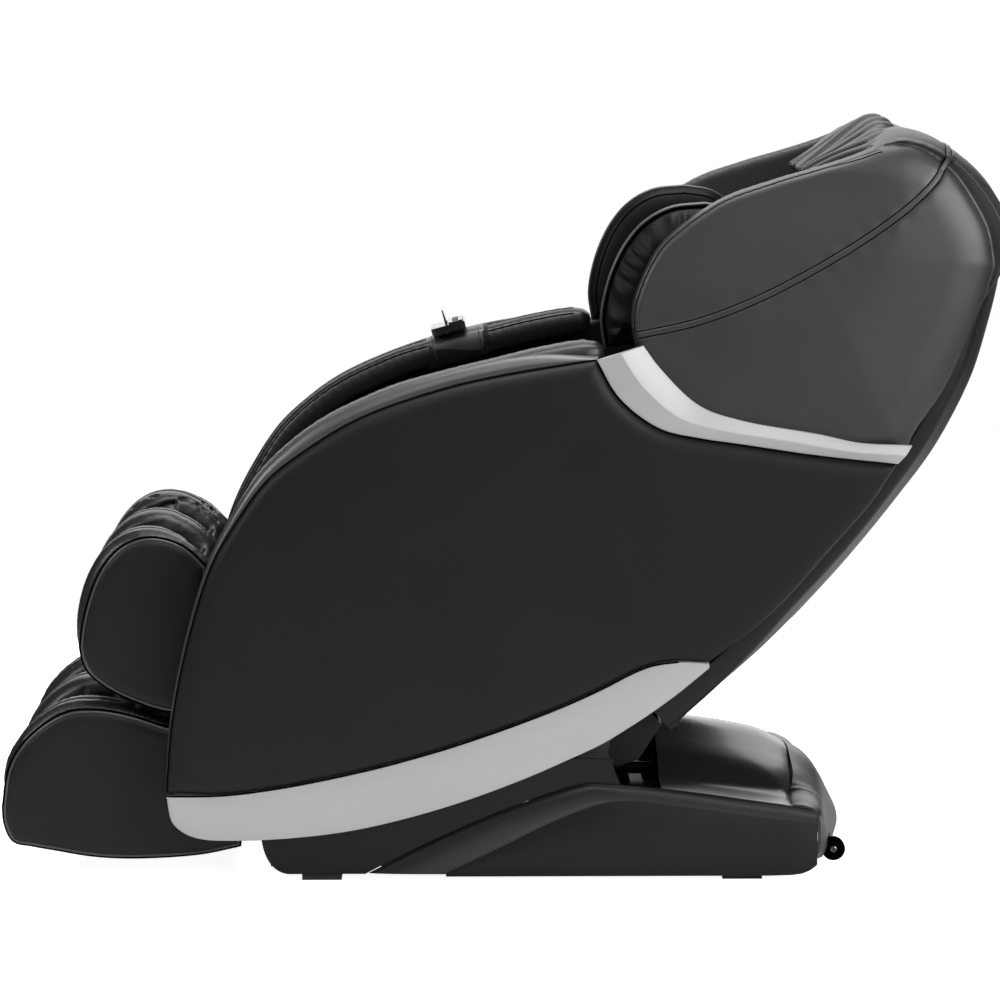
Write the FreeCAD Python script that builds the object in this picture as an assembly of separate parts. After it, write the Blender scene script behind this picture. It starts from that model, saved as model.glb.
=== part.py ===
"""Massage chair of the cocoon kind, in millimetres.

The sitter faces -X, +Z is up, and Y = 0 is the plane of symmetry. The origin is on the floor under the
middle of the chair. "left" is the sitter's left, at -Y. Outlines are side views, written as (x, z).
"""
import FreeCAD, Part
import math
import os

V = FreeCAD.Vector

# Fits and seams
SEAM = 0.5                # between mouldings that meet edge to edge
SOFT_GAP = 0.3            # between a cushion and what carries it
RUN_FIT = 0.05            # radial clearance of a shaft in its bore
SLIDE_FIT = 0.3           # between a sliding block and its rail
FLOOR_CLEAR = 10.0        # skirt above the floor

# Lanes across the chair, half widths
TRIM_RIDGE_Y = 375.0      # crease of the upper trim, the widest point
PANEL_Y = 373.0           # crown of the side panel
PANEL_IN_Y = 338.0        # inner lip of the side panel
PANEL_WALL = 8.0
TRIM_Y = 367.0            # outer face of the lower trim
TRIM_THICK = 14.0
RIM_Y = 349.0             # top edge of the rim
RIM_IN_Y = 340.0
HOOD_Y = 350.0
HOOD_WALL = 52.0
COVER_Y = 312.0           # half width of the back cover
SKIRT_Y = 305.0
SKIRT_WALL = 5.0
SKIRT_STATIONS = 14
SKIRT_CROWN = 3.0         # the shoulder's bulge over a straight slope
SKIRT_CROWN_SHARE = 0.3   # how far down the slope the bulge lies
SKIRT_LAP = 0.1           # how far the shoulder reaches down behind the wall
SKIRT_TOE = 8.0           # the wall's front tip before the shoulder line's
LEG_COVER_Y = 270.0       # outer face of the calf and foot side covers
LEG_COVER_THICK = 7.7
LEG_WALL_Y = 262.0        # outer face of the padded leg walls
LEG_WELL_OUT_Y = 178.0
LEG_WELL_IN_Y = 38.0
SEAT_HALF = 235.0
ARM_PAD_IN_Y = 250.0
ARM_ROLL_Y = 303.0
ARM_ROLL_HALF = 31.0
ARM_ROLL_HIGH = 24.0

# Side view of the cocoon
RIM_LINE = [(-532, 146), (-524, 264), (-501, 385), (-464, 509), (-429, 580), (-385, 646), (-347, 683),
            (-282, 731), (-175, 779), (-68, 811), (38, 830), (134, 828)]
SEAM_LINE = [(-529, 156), (-519, 268), (-491, 401), (-455, 512), (-419, 574), (-370, 640), (-314, 684),
             (-228, 735), (-95, 781), (-15, 799), (91, 817), (130, 823)]
SWEEP_LOW = [(130, 823), (165, 765), (226, 719), (287, 704), (348, 695), (470, 677), (589, 664)]
SWEEP_TOP = [(201, 845), (226, 811), (287, 753), (348, 731), (470, 709), (531, 696), (611, 692)]
REAR_LINE = [(589, 664), (552, 606), (485, 528), (418, 451), (376, 412), (304, 358)]
TRIM_LINE = [(304, 358), (257, 360), (217, 354), (186, 342), (140, 318), (62, 283), (-69, 235),
             (-158, 208), (-245, 186), (-356, 164), (-444, 153), (-529, 152)]
TRIM_BOTTOM = [(-529, 152), (-521, 112), (-504, 95), (-478, 85), (-417, 82), (-335, 86), (-246, 97),
               (-158, 117), (-69, 144), (19, 177), (85, 206), (140, 232), (179, 256), (218, 282),
               (257, 311), (304, 350)]

# Hood: front edge and rim, then the crown over the top, at the sides and in the middle
HOOD_FRONT = [(184, 872), (186, 906), (197, 940), (212, 972), (230, 998), (256, 1019),
              (283, 1036), (318, 1054), (374, 1076), (420, 1096), (467, 1113), (513, 1129)]
HOOD_CROWN_SIDE = [(556, 1145), (596, 1149), (632, 1138), (672, 1110), (706, 1065), (729, 1020), (739, 967)]
HOOD_CROWN_MID = [(556, 1148), (600, 1168), (642, 1161), (694, 1138), (746, 1096), (780, 1042), (794, 967)]
HOOD_REAR = [(714, 885), (664, 771), (617, 701)]
HOOD_CAVITY = [(530, 1240), (562, 1138), (604, 1128), (652, 1110), (700, 1072), (732, 1020), (742, 962)]

# Back cover: rear face in the middle and at its edges
COVER_MID = [(793, 964), (784, 901), (768, 836), (748, 772), (718, 707), (680, 642), (631, 577),
             (578, 511), (522, 446), (462, 385), (395, 328), (330, 283), (264, 252), (246, 239)]
COVER_EDGE = [(748, 964), (733, 915), (716, 863), (698, 802), (670, 740), (636, 678), (592, 616),
              (545, 554), (492, 492), (436, 431), (376, 371), (318, 322), (264, 270), (246, 253)]
COVER_WALL = 5.0

# Seat and back: a straight back line above an arc under the seat
BACK_FOOT = (227.0, 399.0)       # foot of the straight run of the massage rails
BACK_LEAN = 33.0                 # degrees from upright
RAIL_RUN = 600.0                 # straight run of the rails
RAIL_ARC = 220.0
RAIL_SEAT_END_X = -150.0
RAIL_Y = 97.0                    # inner lip of the C rails
RAIL_DEPTH = 20.0
RAIL_HIGH = 34.0
RAIL_SHEET = 3.0
CUSHION_FRONT = 130.0            # cushion face in front of the rail centre line
CUSHION_THICK = 48.0
SEAT_TOP = 480.0

# Tilt pivot, glide and knee
PIVOT = (130.0, 190.0)
PIVOT_R = 12.0
TILT_MAX = 20.0
GLIDE_MAX = 170.0
ROLLER_FROM_PIVOT = (-200.0, -30.0)
ROLLER_R = 22.0
ROLLER_AXLE_R = 8.0
ROLLER_IN_Y = 240.0
ROLLER_OUT_Y = 252.0
LUG_IN_Y = 228.0
LUG_THICK = 8.0
CARRIAGE_LUG_IN_Y = 212.0
CARRIAGE_LUG_THICK = 12.0
KNEE = (-437.0, 470.0)
KNEE_R = 10.0
KNEE_SHAFT_R = 12.0
KNEE_LUG_IN_Y = 225.0
LEG_MAX = 75.0
LEVER_REACH = 115.0              # leg actuator axis below the knee
LEVER_PLATE = 6.0
LEVER_GAP_Y = 8.0
LEG_STROKE = 176.0
LEG_PIN_R = 8.0
LEG_PIN_PLAY = 5.6               # slack of the pin across its slot

# Seat frame
TUBE = 30.0
SEAT_RAIL_Y = 240.0
SEAT_RAIL_TOP = 400.0
SEAT_RAIL_FRONT = -425.0
SEAT_RAIL_REAR = 222.0

# Base
BASE_TUBE = 30.0
BASE_RAIL_Y = 241.0
BASE_RAIL_Z = 16.0
GLIDE_RAIL = 20.0
GLIDE_RAIL_Y = 215.0
GLIDE_RAIL_Z = 66.0
SIDE_PLATE_Y = 288.0
SIDE_PLATE_THICK = 4.0
CAM_IN_Y = 239.0
CAM_OUT_Y = 253.0
CAM_WALL = 14.0
ROD_Z = 120.0
ROD_R = 10.0
TUBE_R = 17.0
BASE_FRONT = -388.0
FOOT_SIZE = (62.0, 52.0, 16.0)
FOOT_X = (-294.0, 364.0)
WHEEL = (511.0, 37.0)
WHEEL_R = 18.5
WHEEL_WIDE = 16.0
WHEEL_Y = 230.0
WHEEL_AXLE_R = 4.0

# Leg unit: near outlines of its two side covers, and its wells
CALF_COVER = [[(-475, 492), (-504, 519), (-533, 532), (-563, 535), (-592, 526), (-616, 506), (-637, 474),
               (-653, 430), (-661, 394), (-664, 369)],
              [(-664, 369), (-661, 350), (-652, 330), (-624, 306), (-579, 284), (-535, 270), (-475, 266)],
              [(-475, 266), (-475, 492)]]
CALF_PAD_PROUD = 9.0
CALF_WELL = [(-478, 505), (-515, 436), (-543, 356), (-566, 250)]
FOOT_COVER = [[(-436, 205), (-546, 240), (-596, 256), (-645, 264), (-687, 261), (-722, 243), (-757, 211),
               (-778, 174), (-788, 114)],
              [(-788, 114), (-786, 89), (-774, 63), (-748, 57), (-710, 50), (-650, 40), (-586, 37),
               (-486, 43), (-426, 55)],
              [(-426, 55), (-422, 120), (-436, 205)]]
FOOT_PAD_PROUD = 6.0
FOOT_WELL = [(-462, 320), (-466, 120), (-490, 88), (-560, 80), (-680, 84), (-735, 104), (-760, 150),
             (-850, 200)]
EXTEND_ANGLE = 65.0              # guide rods below horizontal
EXTEND_MAX = 100.0
GUIDE_TOP = (-497.0, 438.0)
GUIDE_LONG = 150.0
GUIDE_Y = 218.0
GUIDE_ROD_R = 10.0
GUIDE_TUBE_R = 14.0
FOOT_ROD_LONG = 330.0
FOOT_ROLLER = (-600.0, 62.0)
FOOT_ROLLER_R = 13.0
FOOT_SHAFT_R = 5.0

# Massage carriage, along the straight run (s) and in front of it (n)
CARRIAGE_S = 150.0
CARRIAGE_TRAVEL = 330.0
CHASSIS_Y = 84.0
CHASSIS_SHEET = 6.0
MODULE = 3.0
PINION_TEETH = 12
RACK_BACK = 6.0
RACK_Y = 97.0
RACK_WIDE = 12.0
PINION_SHAFT_R = 6.0
ARM_PIVOT_N = 6.0
ARM_PIVOT_R = 8.0
ARM_Y = 46.0
ARM_THICK = 10.0
ARM_REACH = 75.0
MASSAGE_ROLLER_N = 38.0
MASSAGE_ROLLER_R = 27.0
MASSAGE_ROLLER_WIDE = 26.0
MASSAGE_AXLE_R = 5.0

# Shells: rims, trims, hood and covers
CLEAT_X = (-240.0, 40.0)         # where the arm roll is fixed to the panel
CLEAT_HALF = 18.0
CLEAT_Z = (-22.0, -9.0)          # the cleat's height under the seam line
RIM_GAP = 1.0                    # rim band clear of the side panel
RIM_BEVEL = 9.0                  # the rim band leans out this far from its top edge to the seam
TRIM_EDGE = 2.0
HOOD_LAP = 20.0                  # the hood runs on behind the silver trim
HOOD_LOW_FRONT = (196, 826)
HOOD_LOW_REAR = (606, 672)
# Hood stations: share of the half width, depth of the rounded side.
HOOD_STATIONS = ((-1.0, 34), (-0.985, 16), (-0.95, 6), (-0.85, 0), (-0.45, 0),
                 (0.45, 0), (0.85, 0), (0.95, 6), (0.985, 16), (1.0, 34))
COVER_DEPTH = 26.0
COVER_LID = 15.0
# Back cover stations: share of the half width, blend to the edge line, depth of the rounded side.
COVER_STATIONS = ((-1.0, 1.0, 14), (-0.985, 1.0, 4), (-0.94, 1.0, 0), (-0.7, 0.55, 0), (-0.35, 0.15, 0),
                  (0.0, 0.0, 0),
                  (0.35, 0.15, 0), (0.7, 0.55, 0), (0.94, 1.0, 0), (0.985, 1.0, 4), (1.0, 1.0, 14))
PIN_INNER_Y = CARRIAGE_LUG_IN_Y - 4.0        # inner end of the main pivot pins
UNDER_LINE = [(240, 232), (204, 176), (176, 166), (124, 166)]
UNDER_BACK = [(112, 182), (116, 204), (150, 214), (206, 268)]
UNDER_WALL = 4.0
UNDER_ROOM_TOP = 320.0
UNDER_Y = PIN_INNER_Y - SOFT_GAP

# Cushions
SEAT_FRONT = -384.0
SEAT_REAR = 122.0
SEAT_SHAPE = [(0, 0.95, 0.36), (0.025, 0.98, 0.56), (0.05, 1, 0.7), (0.1, 1, 0.9), (0.2, 1, 1), (0.35, 1, 0.93),
              (0.5, 1, 1), (0.65, 1, 0.93), (0.8, 1, 1), (0.9, 1, 0.98), (0.95, 1, 0.86), (0.975, 0.98, 0.7),
              (1, 0.95, 0.45)]
UPRIGHT = 760.0                  # the back uprights of the seat frame
CUSHION_S = (35.0, UPRIGHT - 60.0)
CUSHION_BAR_S = (UPRIGHT - 165.0, UPRIGHT - 147.0)     # bar behind the back cushion
PILLOW_S = (UPRIGHT - 230.0, UPRIGHT - 40.0)
PILLOW_HALF = 150.0
PILLOW_THICK = 52.0
PILLOW_GAP = 1.5
PILLOW_SHAPE = [(0, 0.9, 0.3), (0.08, 0.97, 0.75), (0.25, 1, 1), (0.5, 1, 0.9), (0.75, 1, 1), (0.92, 0.97, 0.75),
                (1, 0.9, 0.3)]
STRAP_FRONT = [(484, 1106), (518, 1130)]
STRAP_REAR_X = 640.0
STRAP_GAP = -1.0                 # the strap is drawn from inside the hood and trimmed to lie on it
STRAP_GATHERS = 14
STRAP_HALF = 110.0
STRAP_THICK = 8.0
STRAP_FOLD = 3.0
WING_IN_Y = 238.0
WING_OUT_Y = HOOD_Y - HOOD_WALL - SOFT_GAP
WING = [[(152, 838), (146, 876), (151, 913), (168, 960), (190, 997), (218, 1024), (255, 1042), (300, 1047)],
        [(300, 1047), (345, 1038), (375, 1010), (385, 970)], [(385, 970), (330, 862)], [(330, 862), (152, 838)]]

# Arms
ARM_FRONT = -446.0
ARM_REAR = 124.0
ARM_ROLL_SHAPE = [(0, 0.6, 0.5), (0.05, 0.9, 0.85), (0.125, 1, 1), (0.3, 1, 1), (0.5, 1, 1), (0.7, 1, 1),
                  (0.875, 1, 1), (0.95, 0.9, 0.85), (1, 0.6, 0.5)]
ARM_PAD_TOP = [(-374, 505), (-330, 560), (-262, 610), (-160, 655), (-50, 684), (40, 700), (110, 706)]
RIM_DROP = 2.0                   # arm roll below the rim's edge

# Controller on the right arm
BAND_X = (-128.0, -30.0)
BAND_THICK = 2.5
BAND_GAP = 0.6                   # band round the arm roll
CRADLE_X = -98.0                 # where the swivel axis leaves the band
CRADLE_Y = 296.0
CRADLE_SIZE = (58.0, 96.0, 12.0)
CRADLE_LIFT = 6.0
CRADLE_FLOOR = 5.0
CRADLE_FIN = (4.0, 56.0, 25.0)
CRADLE_ROUND = 8.0
SWIVEL_R = 6.0
SWIVEL_STUD = 3.0                # stud above the underside of the tray
HUB_WALL = 5.0
HANDSET_SIZE = (24.0, 84.0, 10.0)
HANDSET_X = 14.0                 # middle of the handset behind the swivel
HANDSET_ROUND = 5.0
KEY_R = 5.0
KEY_TRAVEL = 1.0
KEY_PITCH = 20.0
KEY_DEEP = 5.0
KEY_PROUD = 1.6
KEY_NAMES = ("key_power", "key_recline", "key_massage")

# Rack and pinion teeth
ADDENDUM = 0.85
DEDENDUM = 1.15
TOOTH_SHARE = 0.40
FLANK = math.radians(20)
RACK_S = (40.0, 560.0)

# Lugs, brackets and cross bars of the seat frame
KNEE_LUG_R = 20.0
PIVOT_LUG_R = 24.0
ROLLER_LUG_R = 18.0
BRACKET_X = (-330.0, 150.0)
BRACKET_LONG = 24.0
CROSS_S = 26.0
CROSS_N = -40.0
RAIL_BRACKET_S = (300.0, 570.0)
TOP_CROSS_S = UPRIGHT - 40.0
SEAT_CROSS_X = (-140.0, 40.0)
FRONT_CROSS_X = -320.0

# Leg lift and leg unit
LEG_TUBE_FROM = 46.0
LEG_EYE_LONG = 40.0              # flat end of the leg rod behind its pin
LEG_TUBE_LONG = 230.0
LEG_ROD_LONG = 250.0
LEVER_EDGE = 6.0
CALF_ARM_HIGH = 34.0
GUIDE_HEAD = 24.0                # guide tube above its rod at rest

# Glide
GLIDE_RAIL_X = (-345.0, 226.0)
CARRIAGE_X = (30.0, 222.0)
CARRIAGE_BAR = 14.0
ROD_LUG_X = 60.0
GLIDE_ROD_LONG = 350.0
GLIDE_TUBE_X = (236.0, 446.0)
CAM_PLAY = 0.4

# Base frame and its shells
BASE_FRAME_REAR = 470.0
BASE_CROSS_X = (-345.0, -75.0, 192.0, 416.0)
SKIRT_START_X = -110.0           # from here on the shoulder covers the base's side
FLOOR_SHEET = 3.0
SIDE_PLATE_TOP = 194.0
SIDE_PLATE_REAR = 160.0
SIDE_PLATE_TOE = (-226.0, 12.0)  # where the side plate meets the shoulder at the floor
SHOULDER_PEAK = 5
SHOULDER_TOP = [(-221, 14), (-69, 89), (20, 125), (101, 152), (123, 156), (175, 153), (262, 144), (381, 127),
                (440, 119), (479, 112)]
SHOULDER_LOW = [(-100, 14), (-2, 62), (64, 95), (143, 125), (183, 129), (262, 121), (381, 104), (443, 97),
                (479, 93)]
SKIRT_HEEL = [(478, 56), (471, 41), (462, 32), (438, 19), (405, FLOOR_CLEAR)]
DOME_LINE = [(236, 206), (294, 204), (363, 194), (405, 184), (432, 172), (456, 157)]
DECK_LINE = [(236, 147), (294, 140), (363, 130), (405, 124), (432, 120), (440, 117)]
# Hump stations: share of the half width, rise of the dome over the deck.
HUMP_STATIONS = ((-1.0, 0), (-0.83, 0), (-0.7, 0.12), (-0.62, 0.5), (-0.52, 0.8), (-0.3, 0.95),
                 (0.0, 1.0),
                 (0.3, 0.95), (0.52, 0.8), (0.62, 0.5), (0.7, 0.12), (0.83, 0), (1.0, 0))
# Rear cap: its side view in the middle and at its ends; the first points follow the hump's rear edge.
CAP_LINE = [(456.5, 157), (488, 139), (510, 109), (527, 75), (538, 45), (532, 24)]
CAP_EDGE = [(440.5, 117), (468, 114), (481, 104), (484, 84), (483, 56), (476, 36)]
# Rear cap stations: share of the half width, blend to the end line, rise of the dome over the deck.
CAP_STATIONS = ((-1.0, 1.0, 0), (-0.93, 0.83, 0), (-0.82, 0.68, 0), (-0.73, 0.6, 0.03), (-0.66, 0.52, 0.16),
                (-0.6, 0.46, 0.48), (-0.5, 0.36, 0.8), (-0.33, 0.2, 0.94),
                (0.0, 0.0, 1.0),
                (0.33, 0.2, 0.94), (0.5, 0.36, 0.8), (0.6, 0.46, 0.48), (0.66, 0.52, 0.16), (0.73, 0.6, 0.03),
                (0.82, 0.68, 0), (0.93, 0.83, 0), (1.0, 1.0, 0))
CAP_FRONT_X = 479.5              # the cap's ends start behind the skirt

# What stands in the base and on its rear end
AIR_PUMP_BOX = (262.0, 380.0, 60.0, 200.0)
AIR_PUMP_HIGH = 58.0
CONTROL_BOX = (262.0, 390.0, -200.0, -60.0)
CONTROL_HIGH = 44.0
INLET = (84.0, 34.0)
POWER_PANEL_X = 512.0
SWITCH_Y = 24.0

LEAN = math.radians(BACK_LEAN)
BACK_UP = (math.sin(LEAN), math.cos(LEAN))
BACK_OUT = (-math.cos(LEAN), math.sin(LEAN))
DOWN = (-math.cos(math.radians(EXTEND_ANGLE)), -math.sin(math.radians(EXTEND_ANGLE)))


# Curves and outlines

def curve(points):
    """A smooth curve in the side view through the points."""
    made = Part.BSplineCurve()
    made.interpolate([V(x, 0, z) for x, z in points])
    return made


def walk(points, count):
    """Points spaced evenly along the smooth curve through the given ones."""
    return [(p.x, p.z) for p in curve(points).discretize(Number=count)]


def side_edge(points, y):
    """A straight or smooth edge through the points, at one y."""
    placed = [V(x, y, z) for x, z in points]
    if len(placed) == 2:
        return Part.makeLine(*placed)
    made = Part.BSplineCurve()
    made.interpolate(placed)
    return made.toShape()


def ring(sides, y):
    """A closed wire from sides that meet end to end, at one y."""
    return Part.Wire([side_edge(points, y) for points in sides])


def unit(dx, dz):
    size = math.hypot(dx, dz)
    return dx / size, dz / size


def inset(sides, distance):
    """The outline moved inwards by a distance, with as many points as before."""
    loop = [p for points in sides for p in points[:-1]]
    area = sum(a[0] * b[1] - b[0] * a[1] for a, b in zip(loop, loop[1:] + loop[:1]))
    turn = 1.0 if area > 0 else -1.0
    moved = []
    for points in sides:
        last = len(points) - 1
        normals = []
        for i in range(len(points)):
            a, b = points[max(i - 1, 0)], points[min(i + 1, last)]
            tx, tz = unit(b[0] - a[0], b[1] - a[1])
            normals.append((-tz * turn, tx * turn))
        moved.append(normals)
    made = []
    for k, points in enumerate(sides):
        before, here, after = moved[k - 1], moved[k], moved[(k + 1) % len(sides)]
        shifted = []
        for i, (x, z) in enumerate(points):
            n = here[i]
            if i == 0:
                n = corner_normal(before[-1], n)
            elif i == len(points) - 1:
                n = corner_normal(n, after[0])
            shifted.append((x + distance * n[0], z + distance * n[1]))
        made.append(shifted)
    return made


def corner_normal(a, b):
    """The shift of a corner between two sides, kept short at sharp corners."""
    spread = max(1.0 + a[0] * b[0] + a[1] * b[1], 0.5)
    return (a[0] + b[0]) / spread, (a[1] + b[1]) / spread


def plate(sides, stations, smooth=False):
    """A solid through copies of an outline: stations are (y, inset)."""
    return Part.makeLoft([ring(inset(sides, d), y) for y, d in stations], True, not smooth)


def prism(sides, y0, y1):
    """An outline pushed straight from one y to another."""
    return Part.Face(ring(sides, y0)).extrude(V(0, y1 - y0, 0))


def polygon(points, y0, y1):
    """A straight-sided outline pushed from one y to another."""
    placed = [V(x, y0, z) for x, z in points]
    return Part.Face(Part.makePolygon(placed + placed[:1])).extrude(V(0, y1 - y0, 0))


def strip(sections, ruled=False):
    """A solid through straight-sided sections, each a list of (x, y, z)."""
    wires = []
    for section in sections:
        placed = [V(*p) for p in section]
        wires.append(Part.makePolygon(placed + placed[:1]))
    return Part.makeLoft(wires, True, ruled)


def normals(points):
    """The left-hand normals of a run of points."""
    last = len(points) - 1
    made = []
    for i in range(len(points)):
        a, b = points[max(i - 1, 0)], points[min(i + 1, last)]
        tx, tz = unit(b[0] - a[0], b[1] - a[1])
        made.append((-tz, tx))
    return made


def pad_section(x, z, n, y, half_wide, half_high):
    """A cushion's cross section: four bowed sides between four soft corners."""
    def at(a, b):
        return V(x + n[0] * b * half_high, y + a * half_wide, z + n[1] * b * half_high)
    corner_a, corner_b = 0.86, 0.74
    corners = [at(-corner_a, -corner_b), at(corner_a, -corner_b), at(corner_a, corner_b), at(-corner_a, corner_b)]
    tops = [at(0, -1), at(1, 0), at(0, 1), at(-1, 0)]
    edges = []
    for i in range(4):
        edges.append(Part.Arc(corners[i], tops[i], corners[(i + 1) % 4]).toShape())
    return Part.Wire(edges)


def pad(path, y, half_wide, half_high, shape):
    """A cushion along a path. shape gives (along 0..1, width factor, height factor)."""
    count = 41
    points = walk(path, count)
    outward = normals(points)
    wires = []
    for along, wide, high in shape:
        i = round(along * (count - 1))
        wires.append(pad_section(*points[i], outward[i], y, half_wide * wide, half_high * high))
    return Part.makeLoft(wires, True, False)


def box(x0, x1, y0, y1, z0, z1):
    return Part.makeBox(x1 - x0, y1 - y0, z1 - z0, V(x0, y0, z0))


def shaft(x, z, r, y0, y1):
    """A round bar along y."""
    return Part.makeCylinder(r, y1 - y0, V(x, y0, z), V(0, 1, 0))


def bar(a, b, y, r):
    """A round bar between two side-view points at one y."""
    start, end = V(a[0], y, a[1]), V(b[0], y, b[1])
    return Part.makeCylinder(r, (end - start).Length, start, end - start)


def beam(a, b, y0, y1, high):
    """A flat bar between two side-view points, high across its line."""
    tx, tz = unit(b[0] - a[0], b[1] - a[1])
    nx, nz = -tz * high / 2, tx * high / 2
    return polygon([(a[0] + nx, a[1] + nz), (b[0] + nx, b[1] + nz), (b[0] - nx, b[1] - nz),
                    (a[0] - nx, a[1] - nz)], y0, y1)


def mirrored(shape):
    return shape.mirror(V(0, 0, 0), V(0, 1, 0))


def pair(shape):
    return [mirrored(shape), shape]


def fused(shapes):
    whole = shapes[0].fuse(shapes[1:]) if len(shapes) > 1 else shapes[0]
    return whole.removeSplitter()


def back_point(s, n):
    """A point on the back: s along the straight rail from its foot, n in front of it."""
    return (BACK_FOOT[0] + s * BACK_UP[0] + n * BACK_OUT[0], BACK_FOOT[1] + s * BACK_UP[1] + n * BACK_OUT[1])


def back_box(s0, s1, n0, n1, y0, y1):
    return polygon([back_point(s0, n0), back_point(s1, n0), back_point(s1, n1), back_point(s0, n1)], y0, y1)


def turned(point, degrees):
    """A point turned about the origin, positive towards recline."""
    a = math.radians(degrees)
    x, z = point
    return x * math.cos(a) + z * math.sin(a), -x * math.sin(a) + z * math.cos(a)


# Cocoon shells

def panel_outline():
    low = [REAR_LINE[-1]] + TRIM_LINE[1:-1] + [SEAM_LINE[0]]
    return inset([SEAM_LINE, SWEEP_LOW, REAR_LINE, low], SEAM / 2)


def side_panel():
    """A dished leather-wrapped shell, open towards the seat."""
    crown = [(PANEL_IN_Y, 0), (PANEL_Y - 19, 0), (PANEL_Y - 7, 5), (PANEL_Y - 2, 14), (PANEL_Y, 27)]
    hollow = [(PANEL_IN_Y - 1, PANEL_WALL)]
    hollow += [(y - PANEL_WALL, d + PANEL_WALL) for y, d in crown[1:]]
    shell = plate(panel_outline(), crown).cut(plate(panel_outline(), hollow))
    roll_side = ARM_ROLL_Y + ARM_ROLL_HALF + 2 * SOFT_GAP
    for x in CLEAT_X:
        z = line_height(SEAM_LINE, x)
        shell = shell.fuse(box(x - CLEAT_HALF, x + CLEAT_HALF, roll_side, PANEL_IN_Y + 1,
                               z + CLEAT_Z[0], z + CLEAT_Z[1]))
    return shell


def line_height(points, x):
    """The height of a line at an x."""
    return min(walk(points, 201), key=lambda p: abs(p[0] - x))[1]


def side_rim():
    """The band that closes the panel's front and top edge, widest in the middle of the arm."""
    count = 31
    top = walk(RIM_LINE, count)
    seam = walk(SEAM_LINE, count)
    sections = []
    for (tx, tz), (sx, sz), n in zip(top, seam, normals(seam)):
        x, z = sx + n[0] * RIM_GAP, sz + n[1] * RIM_GAP
        sections.append([(x, RIM_IN_Y, z), (x, RIM_Y + RIM_BEVEL, z), (tx, RIM_Y, tz), (tx, RIM_IN_Y, tz)])
    return strip(sections, True)


def lower_trim():
    low = [(x, z - SEAM) for x, z in TRIM_LINE]
    sides = [low, [low[-1]] + TRIM_BOTTOM[1:], [TRIM_BOTTOM[-1], low[0]]]
    return plate(sides, [(TRIM_Y - TRIM_THICK, 0), (TRIM_Y - TRIM_EDGE, 0), (TRIM_Y, TRIM_EDGE)])


def upper_trim():
    """The folded silver strip between panel and hood, with its crease halfway up."""
    count = 11
    low, top = walk(SWEEP_LOW, count), walk(SWEEP_TOP, count)
    inner = HOOD_Y + 1.5
    sections = []
    for (lx, lz), (ux, uz), n in zip(low, top, normals(low)):
        lx, lz = lx + n[0] * SEAM, lz + n[1] * SEAM
        rx, rz = (lx + ux) / 2, (lz + uz) / 2
        sections.append([(lx, inner, lz), (lx, TRIM_Y, lz), (rx, TRIM_RIDGE_Y, rz), (ux, TRIM_Y - 5, uz),
                         (ux, inner, uz)])
    return strip(sections, True)


def blend_lines(a, b, share):
    """A line between two lines with as many points: share 0 is a, 1 is b."""
    return [(p[0] + (q[0] - p[0]) * share, p[1] + (q[1] - p[1]) * share) for p, q in zip(a, b)]


def shifted(points, distance):
    """A line moved to its left by a distance."""
    return [(x + n[0] * distance, z + n[1] * distance) for (x, z), n in zip(points, normals(points))]


def longer(points, reach):
    """A side-view line with a straight piece added at both ends."""
    (ax, az), (bx, bz) = points[0], points[1]
    (cx, cz), (dx, dz) = points[-1], points[-2]
    start, end = unit(ax - bx, az - bz), unit(cx - dx, cz - dz)
    first = (ax + start[0] * reach, az + start[1] * reach)
    return [first] + points + [(cx + end[0] * reach, cz + end[1] * reach)]


def hood():
    """The padded hood: two side walls joined by a back wall over the top, open to the front."""
    low = [HOOD_LOW_REAR] + [(x + 2, z - HOOD_LAP) for x, z in reversed(SWEEP_TOP[1:-1])] + [HOOD_LOW_FRONT]
    rings = []
    for out, depth in HOOD_STATIONS:
        crown = blend_lines(HOOD_CROWN_MID, HOOD_CROWN_SIDE, out ** 6)
        front = [HOOD_LOW_FRONT] + HOOD_FRONT + [crown[0]]
        rear = [crown[-1]] + HOOD_REAR + [HOOD_LOW_REAR]
        rings.append(ring(inset([front, crown, rear, low], depth), out * HOOD_Y))
    outer = Part.makeLoft(rings, True, False)
    half = HOOD_Y - HOOD_WALL
    end, start = HOOD_CAVITY[-1], HOOD_CAVITY[0]
    far, floor = HOOD_CROWN_MID[-1][0] + 50, SWEEP_LOW[-1][1] - 50
    corners = [end, (far, end[1]), (far, floor), (0, floor), (0, start[1]), start]
    cavity = [HOOD_CAVITY] + [[a, b] for a, b in zip(corners, corners[1:])]
    lip = shifted(COVER_EDGE, -COVER_DEPTH - SEAM)
    rear = [(x + 150, z) for x, z in COVER_EDGE[::-1]]
    notch = [lip, [lip[-1], rear[0]], rear, [rear[-1], lip[0]]]
    half_notch = COVER_Y + SEAM
    return outer.cut(prism(cavity, -half, half)).cut(prism(notch, -half_notch, half_notch))


def back_cover():
    """The rear shell, a shallow pan that closes the cocoon from the hood down to the seat."""
    outer, inner = [], []
    front = shifted(COVER_EDGE, -COVER_DEPTH)[::-1]
    lid = longer(shifted(COVER_EDGE, -COVER_DEPTH - COVER_LID), COVER_LID)[::-1]
    for out, edge, depth in COVER_STATIONS:
        rear = shifted(blend_lines(COVER_MID, COVER_EDGE, edge), -depth)
        outer.append(ring([rear, [rear[-1], front[0]], front, [front[-1], rear[0]]], out * COVER_Y))
        skin = longer(shifted(rear, -COVER_WALL), COVER_LID)
        inner.append(ring([skin, [skin[-1], lid[0]], lid, [lid[-1], skin[0]]], out * (COVER_Y - COVER_WALL)))
    return Part.makeLoft(outer, True, False).cut(Part.makeLoft(inner, True, False))


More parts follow.
